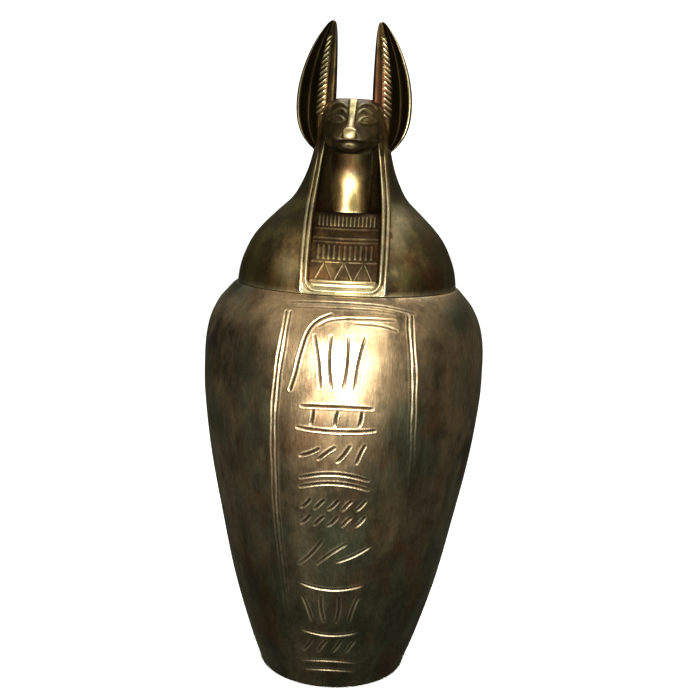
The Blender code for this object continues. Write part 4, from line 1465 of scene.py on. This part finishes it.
# Painted shade and a painted dark reflection: low on both sides of the wig, beside the left band, on the
# right of the throat and at the top of the blaze.
LID_PAINTED_SHADE = (
    (-0.0555, 0.2690, 0.0125, 0.0140, 1.00),
    (0.0500, 0.2640, 0.0080, 0.0090, 0.60),
    (-0.0290, 0.3040, 0.0060, 0.0090, 0.60),
    (0.0032, 0.3090, 0.0030, 0.0085, 0.95),
    (0.0006, 0.3608, 0.0032, 0.0034, 0.80),
)
PATCH_SHADE = 0.5
EAR_DULLING = 0.75
COLLAR_DULLING = 0.30
FACE_DULLING = 0.3
BAND_DULLING = 0.8
JAW_SHADE_DARK = 0.6
RUBBED_CLEARS = 0.8
CUP_AND_JAW_DARKENING = 0.9
SLIGHTLY_DARK = 0.05
NOT_HOLLOW = 0.2


def band_rub(places):
    """Bright on the two bands, and their dull part near their tops."""
    x, reach, height = places.T
    front, gap, highest = BAND_LIMITS
    share = band_relief(x, height, inside_opening(x, height)) / BAND_HEIGHT
    top = np.where(x < 0, smooth_step(*LEFT_BAND_TOP, height), smooth_step(*RIGHT_BAND_TOP, height))
    near = (reach < front) & (wig_front(x, height) + reach < gap) & (height < highest)
    return share * near * top, share * near * (1 - top)


def border_rub(places):
    """Bright on the frame's lower border, partly rubbed and partly a painted highlight."""
    on_border = (abs(places[:, 0]) < BORDER_HALF) & (places[:, 1] < BORDER_FRONT)
    return BORDER_RUB * smooth_step(*BORDER_HEIGHTS, places[:, 2]) * on_border


band_bright, band_dull = band_rub(lid_places)
rubbed_and_highlights *= (1 - cups) * (1 - EAR_DULLING * (ears_dark > CLEARLY_DARK))
rubbed_and_highlights *= 1 - COLLAR_DULLING * (collar_dark > SLIGHTLY_DARK)
rubbed_and_highlights *= 1 - FACE_DULLING * on_face
rubbed_and_highlights = np.maximum(rubbed_and_highlights * (1 - BAND_DULLING * band_dull), BAND_RUB * band_bright)
# Painted highlights on the wig.
lightened = patches(lid_places, LID_PAINTED_HIGHLIGHTS) * (hollow < NOT_HOLLOW) * (1 - band_dull)
rubbed_and_highlights = np.maximum(rubbed_and_highlights, lightened)
rubbed_and_highlights = np.maximum(rubbed_and_highlights, border_rub(lid_places))
rubbed_and_highlights *= 1 - jaw_shade
# Painted shade under the jaw, on and beside the throat, in the ears and in the dark patches joins the
# hollows' patina, and painted highlights join the rubbed places.
dark = np.max([ears_dark, collar_dark, face_dark, JAW_SHADE_DARK * jaw_shade], axis=0)
painted_shade_patches = patches(lid_places, LID_PAINTED_SHADE) * (1 - band_bright)
hollow = np.max([hollow, dark * (1 - RUBBED_CLEARS * rubbed_and_highlights), PATCH_SHADE * painted_shade_patches], axis=0)
old_patina_and_shade = np.max([wig_sides_dark, painted_shade_patches, CUP_AND_JAW_DARKENING * cups, CUP_AND_JAW_DARKENING * jaw_shade], axis=0)
lid = piece("lid_carved", lid_skin, {"burnished_and_highlights": rubbed_and_highlights, "deep_patina_and_shade": hollow, "old_patina_and_shade": old_patina_and_shade})
print(lid.name, "rubbed_and_highlights", round(float(rubbed_and_highlights.mean()), 3), "hollow", round(float(hollow.mean()), 3))
print(lid.name, "has", triangles(lid), "triangles")

# %% [markdown]
# The finish is built from shader nodes by a script, which takes many lines of making and linking. A few
# small helpers keep it short: each makes one node, sets or links its inputs, and gives back its output,
# so that the group further down reads like a list of steps.

# %% Helpers for shader nodes


def node_at(tree, kind, **values):
    """A node with some of its properties set."""
    node = tree.nodes.new(kind)
    for key, value in values.items():
        setattr(node, key, value)
    return node


def feed(tree, socket, value):
    """Sets a socket to a number or colour, or links another socket to it."""
    if isinstance(value, (int, float, tuple)):
        socket.default_value = value
    else:
        tree.links.new(value, socket)


def stretched(tree, place, upward):
    """Coordinates scaled along Z, so that a pattern on them is drawn out upwards."""
    node = node_at(tree, "ShaderNodeMapping")
    feed(tree, node.inputs["Vector"], place)
    feed(tree, node.inputs["Scale"], (1.0, 1.0, upward))
    return node.outputs["Vector"]


def noise_of(tree, place, upward, scale, detail, rough):
    """A noise from 0 to 1, drawn out upwards where its scale along Z is under 1."""
    node = node_at(tree, "ShaderNodeTexNoise")
    vector = place if upward == 1.0 else stretched(tree, place, upward)
    for key, value in (("Vector", vector), ("Scale", scale), ("Detail", detail), ("Roughness", rough)):
        feed(tree, node.inputs[key], value)
    return node.outputs["Fac"]


def ranged(tree, value, *limits):
    """A value moved from one range to another and kept inside it."""
    node = node_at(tree, "ShaderNodeMapRange")
    feed(tree, node.inputs["Value"], value)
    for key, limit in zip(("From Min", "From Max", "To Min", "To Max"), limits):
        feed(tree, node.inputs[key], limit)
    return node.outputs["Result"]


def worked(tree, operation, first, second):
    """A Math node on two sockets or numbers."""
    node = node_at(tree, "ShaderNodeMath", operation=operation)
    for socket, value in zip(node.inputs, (first, second)):
        feed(tree, socket, value)
    return node.outputs["Value"]


def added(tree, *terms):
    """The sum of several (value, weight) pairs."""
    total = 0.0
    for value, weight in terms:
        total = worked(tree, "ADD", total, worked(tree, "MULTIPLY", value, weight))
    return total


def mixed(tree, share, first, second, blend="MIX"):
    """A colour mix of two sockets or colours."""
    node = node_at(tree, "ShaderNodeMix", data_type="RGBA", blend_type=blend)
    for socket, value in ((node.inputs[0], share), (node.inputs[6], first), (node.inputs[7], second)):
        feed(tree, socket, value)
    return node.outputs[2]


def grey(tree, value):
    """A grey colour from a value."""
    node = node_at(tree, "ShaderNodeCombineColor")
    for socket in node.inputs:
        feed(tree, socket, value)
    return node.outputs["Color"]


def point_value(tree, name):
    """A value that the mesh keeps for each of its points."""
    return node_at(tree, "ShaderNodeAttribute", attribute_name=name).outputs["Fac"]


kept = [item.name for item in lid.data.attributes if item.data_type == "FLOAT"]
print("values that the nodes can read:", kept)

# %% [markdown]
# Old bronze is never one colour. Under a thin brown and olive patina lies warm metal, the patina is
# uneven in soft clouds, and years of wiping draw upright streaks. One node group makes these for both
# pieces: it mixes a rubbed and an aged colour by clouds, streaks and the masks kept on the mesh. These
# masks hold wear and patina, and also painted shade, which darkens the colour, and painted highlights,
# which brighten it.

# %% The bronze node group
COLOURS = ("Rubbed", "Metal", "Aged", "Olive", "Russet")
STRENGTHS = ("Age", "Clouds", "Gloss", "Grain", "Lacquer", "Moss")
SOCKETS = (
    *(("INPUT", "NodeSocketColor", name) for name in COLOURS),
    *(("INPUT", "NodeSocketFloat", name) for name in STRENGTHS),
    ("OUTPUT", "NodeSocketColor", "Colour"),
    ("OUTPUT", "NodeSocketFloat", "Roughness"),
    ("OUTPUT", "NodeSocketFloat", "Height"),
    ("OUTPUT", "NodeSocketFloat", "Coat"),
)
# Each noise: its scale along Z, its scale, detail and roughness.
NOISES = {
    "clouds": (0.60, 20.0, 5.0, 0.62),
    "blotches": (1.0, 62.0, 6.0, 0.70),
    "streaks": (0.10, 120.0, 4.0, 0.65),
    "smudges": (0.45, 42.0, 7.0, 0.75),
    "fine": (0.22, 900.0, 3.0, 0.60),
    "olive": (0.60, 24.0, 5.0, 0.65),
    "russet": (0.70, 33.0, 5.0, 0.65),
}
UNEVEN_PARTS = {"clouds": 0.55, "blotches": 0.27, "streaks": 0.18}
HEIGHT_PARTS = {"blotches": 0.5, "streaks": 0.35}
AGE_WEIGHTS = (0.8, 0.8, -0.5)
# Each range: from low, from high, to low, to high.
CLOUDED = (0.43, 0.58, 0.0, 1.0)
OLIVE_SPOTS = (0.50, 0.64, 0.0, 0.75)
NOT_GREEN = (0.2, 0.7, 1.0, 0.35)
RUSSET_SPOTS = (0.54, 0.66, 0.0, 0.75)
BRIGHTENED = (0.10, 0.80, 0.0, 0.9)
CARVED_SHADE = (0.05, 0.90, 1.0, 0.22)
UNEVEN_SHADE = (0.48, 0.61, 1.04, 0.48)
FINE_SHADE = (0.30, 0.70, 0.80, 1.18)
PATINA_AND_SHADE_DIMMING = (0.0, 1.0, 1.0, 0.60)
SMUDGED_SHADE = (0.38, 0.62, 1.28, 0.76)
UNEVEN_ROUGH = (0.35, 0.65, -0.05, 0.12)
STREAKED_ROUGH = (0.30, 0.70, -0.04, 0.06)
UNEVEN_WORN = (0.42, 0.62, 0.0, 0.5)
CARVED_ROUGH = 0.26
PATINA_AND_SHADE_COAT_LOSS = -0.6


def bronze_group():
    """Aged bronze: colours and strengths in, colour, roughness, height and coat out."""
    tree = bpy.data.node_groups.new("aged bronze", "ShaderNodeTree")
    for way, kind, name in SOCKETS:
        tree.interface.new_socket(name, in_out=way, socket_type=kind)
    inputs = node_at(tree, "NodeGroupInput").outputs
    place = node_at(tree, "ShaderNodeTexCoord").outputs["Object"]
    burnished_and_highlights, deep_patina_and_shade, old_patina_and_shade = (point_value(tree, name) for name in ("burnished_and_highlights", "deep_patina_and_shade", "old_patina_and_shade"))
    noise = {name: noise_of(tree, place, *row) for name, row in NOISES.items()}
    uneven = added(tree, *((noise[name], weight) for name, weight in UNEVEN_PARTS.items()))

    age = worked(tree, "MULTIPLY", ranged(tree, uneven, *CLOUDED), inputs["Clouds"])
    own, (dark, patina_shade_weight, bright) = inputs["Age"], AGE_WEIGHTS
    age = added(tree, (age, 1.0), (own, 1.0), (deep_patina_and_shade, dark), (old_patina_and_shade, patina_shade_weight), (burnished_and_highlights, bright))
    age = ranged(tree, age, 0.0, 1.0, 0.0, 1.0)

    colour = mixed(tree, age, inputs["Metal"], inputs["Aged"])
    moss = worked(tree, "MULTIPLY", old_patina_and_shade, inputs["Moss"])
    green = added(tree, (ranged(tree, noise["olive"], *OLIVE_SPOTS), 1.0), (moss, 1.0))
    green = worked(tree, "MULTIPLY", green, ranged(tree, deep_patina_and_shade, *NOT_GREEN))
    colour = mixed(tree, green, colour, inputs["Olive"])
    colour = mixed(tree, ranged(tree, noise["russet"], *RUSSET_SPOTS), colour, inputs["Russet"])
    colour = mixed(tree, ranged(tree, burnished_and_highlights, *BRIGHTENED), colour, inputs["Rubbed"])
    # The shade darkens the colour with the hollows' patina and wherever painted shade is kept on the mesh.
    shade = ranged(tree, deep_patina_and_shade, *CARVED_SHADE)
    for value, limits in (
        (uneven, UNEVEN_SHADE),
        (noise["fine"], FINE_SHADE),
        (old_patina_and_shade, PATINA_AND_SHADE_DIMMING),
        (noise["smudges"], SMUDGED_SHADE),
    ):
        shade = worked(tree, "MULTIPLY", shade, ranged(tree, value, *limits))
    colour = mixed(tree, 1.0, colour, grey(tree, shade), "MULTIPLY")

    rough = added(tree, (inputs["Gloss"], 1.0), (ranged(tree, uneven, *UNEVEN_ROUGH), 1.0))
    streaked = ranged(tree, noise["streaks"], *STREAKED_ROUGH)
    rough = added(tree, (rough, 1.0), (streaked, 1.0), (deep_patina_and_shade, CARVED_ROUGH))
    height = added(tree, *((noise[name], weight) for name, weight in HEIGHT_PARTS.items()))
    height = worked(tree, "ADD", height, worked(tree, "MULTIPLY", noise["fine"], inputs["Grain"]))

    worn = ranged(tree, uneven, *UNEVEN_WORN)
    covered = added(tree, (deep_patina_and_shade, -1.0), (old_patina_and_shade, PATINA_AND_SHADE_COAT_LOSS), (worn, -1.0))
    coat = worked(tree, "MULTIPLY", ranged(tree, covered, -1.0, 0.0, 0.0, 1.0), inputs["Lacquer"])
    outputs = node_at(tree, "NodeGroupOutput").inputs
    for name, socket in (("Colour", colour), ("Roughness", rough), ("Height", height), ("Coat", coat)):
        tree.links.new(socket, outputs[name])
    return tree


aged_bronze = bronze_group()
print("node group:", aged_bronze.name, "with", len(aged_bronze.nodes), "nodes")

# %% [markdown]
# The jar is a satin beige bronze that has gone olive and brown, and the lid is darker, redder and
# glossier, since hands lift it. Both are plain metal under a thin clear coat, so their look comes from
# what they reflect, and the bump stays tiny: a cast surface is uneven, but it isn't rough.

# %% The two bronzes
BUMP_DISTANCE = 0.0004
COAT_ROUGHNESS = 0.26
JAR_FINISH = {
    "Rubbed": (0.78, 0.62, 0.39, 1.0),
    "Metal": (0.53, 0.365, 0.19, 1.0),
    "Aged": (0.120, 0.088, 0.045, 1.0),
    "Olive": (0.20, 0.205, 0.115, 1.0),
    "Russet": (0.26, 0.135, 0.060, 1.0),
    "Age": 0.02,
    "Clouds": 0.95,
    "Gloss": 0.35,
    "Grain": 0.5,
    "Lacquer": 0.52,
    "Moss": 1.1,
}
LID_FINISH = {
    "Rubbed": (0.76, 0.66, 0.38, 1.0),
    "Metal": (0.54, 0.34, 0.115, 1.0),
    "Aged": (0.095, 0.058, 0.025, 1.0),
    "Olive": (0.34, 0.29, 0.09, 1.0),
    "Russet": (0.24, 0.095, 0.040, 1.0),
    "Age": 0.04,
    "Clouds": 0.95,
    "Gloss": 0.32,
    "Grain": 0.3,
    "Lacquer": 0.40,
    "Moss": 0.35,
}
JAR_BUMP = 0.35
LID_BUMP = 0.30


def bronze(name, finish, bump):
    """A bronze material with its own values for the shared group."""
    material = bpy.data.materials.new(name)
    material.use_nodes = True
    tree = material.node_tree
    shader = tree.nodes["Principled BSDF"]
    shader.inputs["Metallic"].default_value = 1.0
    shader.inputs["Coat Roughness"].default_value = COAT_ROUGHNESS
    group = node_at(tree, "ShaderNodeGroup", node_tree=aged_bronze)
    for key, value in finish.items():
        group.inputs[key].default_value = value
    relief = node_at(tree, "ShaderNodeBump")
    relief.inputs["Strength"].default_value = bump
    relief.inputs["Distance"].default_value = BUMP_DISTANCE
    tree.links.new(group.outputs["Colour"], shader.inputs["Base Color"])
    tree.links.new(group.outputs["Roughness"], shader.inputs["Roughness"])
    tree.links.new(group.outputs["Coat"], shader.inputs["Coat Weight"])
    tree.links.new(group.outputs["Height"], relief.inputs["Height"])
    tree.links.new(relief.outputs["Normal"], shader.inputs["Normal"])
    return material


jar_bronze = bronze("jar bronze", JAR_FINISH, JAR_BUMP)
lid_bronze = bronze("lid bronze", LID_FINISH, LID_BUMP)
jar.data.materials.append(jar_bronze)
lid.data.materials.append(lid_bronze)
print("materials:", jar_bronze.name, "and", lid_bronze.name)

# %% [markdown]
# The floor is pale and plain, like the sheet of paper under a thing that is photographed for a list. It
# isn't part of the object. Its tone is very faintly uneven, because a perfectly flat grey looks like no
# real surface.

# %% The floor
FLOOR_SIZE = 4.0
FLOOR_HEIGHT = -0.0004
FLOOR_TONES = ((0.86, 0.86, 0.85, 1.0), (0.90, 0.90, 0.90, 1.0))
FLOOR_ROUGHNESS = 0.7
FLOOR_NOISE = (1.0, 3.0, 3.0, 0.5)
FLOOR_RANGE = (0.3, 0.7, 0.0, 1.0)


def stage_floor():
    """A wide pale floor with a faint unevenness in its tone."""
    shape = bmesh.new()
    bmesh.ops.create_grid(shape, x_segments=8, y_segments=8, size=FLOOR_SIZE)
    bmesh.ops.translate(shape, verts=shape.verts, vec=(0, 0, FLOOR_HEIGHT))
    floor = piece("floor", shape, {})
    material = bpy.data.materials.new("pale floor")
    material.use_nodes = True
    tree = material.node_tree
    place = node_at(tree, "ShaderNodeTexCoord").outputs["Object"]
    tone = ranged(tree, noise_of(tree, place, *FLOOR_NOISE), *FLOOR_RANGE)
    shader = tree.nodes["Principled BSDF"]
    tree.links.new(mixed(tree, tone, *FLOOR_TONES), shader.inputs["Base Color"])
    shader.inputs["Roughness"].default_value = FLOOR_ROUGHNESS
    floor.data.materials.append(material)
    floor.visible_glossy = False
    return floor


floor = stage_floor()
print("floor:", FLOOR_SIZE * 2, "metres wide")

# %% [markdown]
# Metal shows its surroundings. The broad light by the camera gives the blown highlight on the shoulder
# and the throat, a second one above it lights the face's brows, and a large one behind draws the rims.
# To the eye the studio is white, but what the metal reflects is a dim room with a brighter ceiling, so
# the flanks stay dark as they do in a real room.

# %% Lights and surroundings
# Each light: name, place, the point it faces, width, height, power, colour.
LIGHTS = (
    ("front light", (-0.005, -0.75, 0.272), (0.0, 0.0, 0.22), 0.39, 0.27, 12.0, (1.0, 0.985, 0.96)),
    ("high front light", (0.20, -0.64, 0.72), (0.0, 0.0, 0.25), 0.40, 0.30, 2.1, (1.0, 0.98, 0.92)),
    ("ceiling light", (0.13, 0.43, 1.08), (0.0, 0.0, 0.30), 0.75, 0.55, 7.0, (1.0, 0.98, 0.90)),
)
WHITE_ROOM = (1.35, 1.35, 1.35, 1.0)
DIM_ROOM = (0.036, 0.036, 0.029, 1.0)
CEILING = (0.55, 0.52, 0.45, 1.0)
CEILING_HEIGHTS = (0.20, 0.75, 0.0, 1.0)
CEILING_DEPTHS = (0.25, -0.15, 0.35, 1.0)


def soft_light(name, place, aim, width, height, power, colour):
    """An area light that faces a point."""
    data = bpy.data.lights.new(name, "AREA")
    data.shape = "RECTANGLE"
    data.size, data.size_y = width, height
    data.energy = power
    data.color = colour
    light = bpy.data.objects.new(name, data)
    bpy.context.scene.collection.objects.link(light)
    way = Vector(place) - Vector(aim)
    light.matrix_world = Matrix.Translation(place) @ way.to_track_quat("Z", "Y").to_matrix().to_4x4()
    return light


def surroundings():
    """A white studio to the eye, and a dimmer one in what the metal reflects."""
    world = bpy.data.worlds.new("studio")
    bpy.context.scene.world = world
    world.use_nodes = True
    tree = world.node_tree
    background = tree.nodes["Background"]
    path = node_at(tree, "ShaderNodeLightPath")
    split = node_at(tree, "ShaderNodeSeparateXYZ")
    tree.links.new(node_at(tree, "ShaderNodeTexCoord").outputs["Generated"], split.inputs["Vector"])
    upward = ranged(tree, split.outputs["Z"], *CEILING_HEIGHTS)
    ahead = ranged(tree, split.outputs["Y"], *CEILING_DEPTHS)
    reflected = mixed(tree, worked(tree, "MULTIPLY", upward, ahead), DIM_ROOM, CEILING)
    colour = mixed(tree, path.outputs["Is Glossy Ray"], WHITE_ROOM, reflected)
    tree.links.new(colour, background.inputs["Color"])
    background.inputs["Strength"].default_value = 1.0
    return world


surroundings()
lights = [soft_light(*row) for row in LIGHTS]
print("lights:", [light.name for light in lights])

# %% [markdown]
# Each finished piece stands for one solid of the frame and rides on its body, and that solid is hidden.

# %% Pieces and the frame
for made, node, slot in ((jar, "jar", "jar_bronze"), (lid, "lid", "lid_bronze")):
    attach(made, "root")
    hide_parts(node)
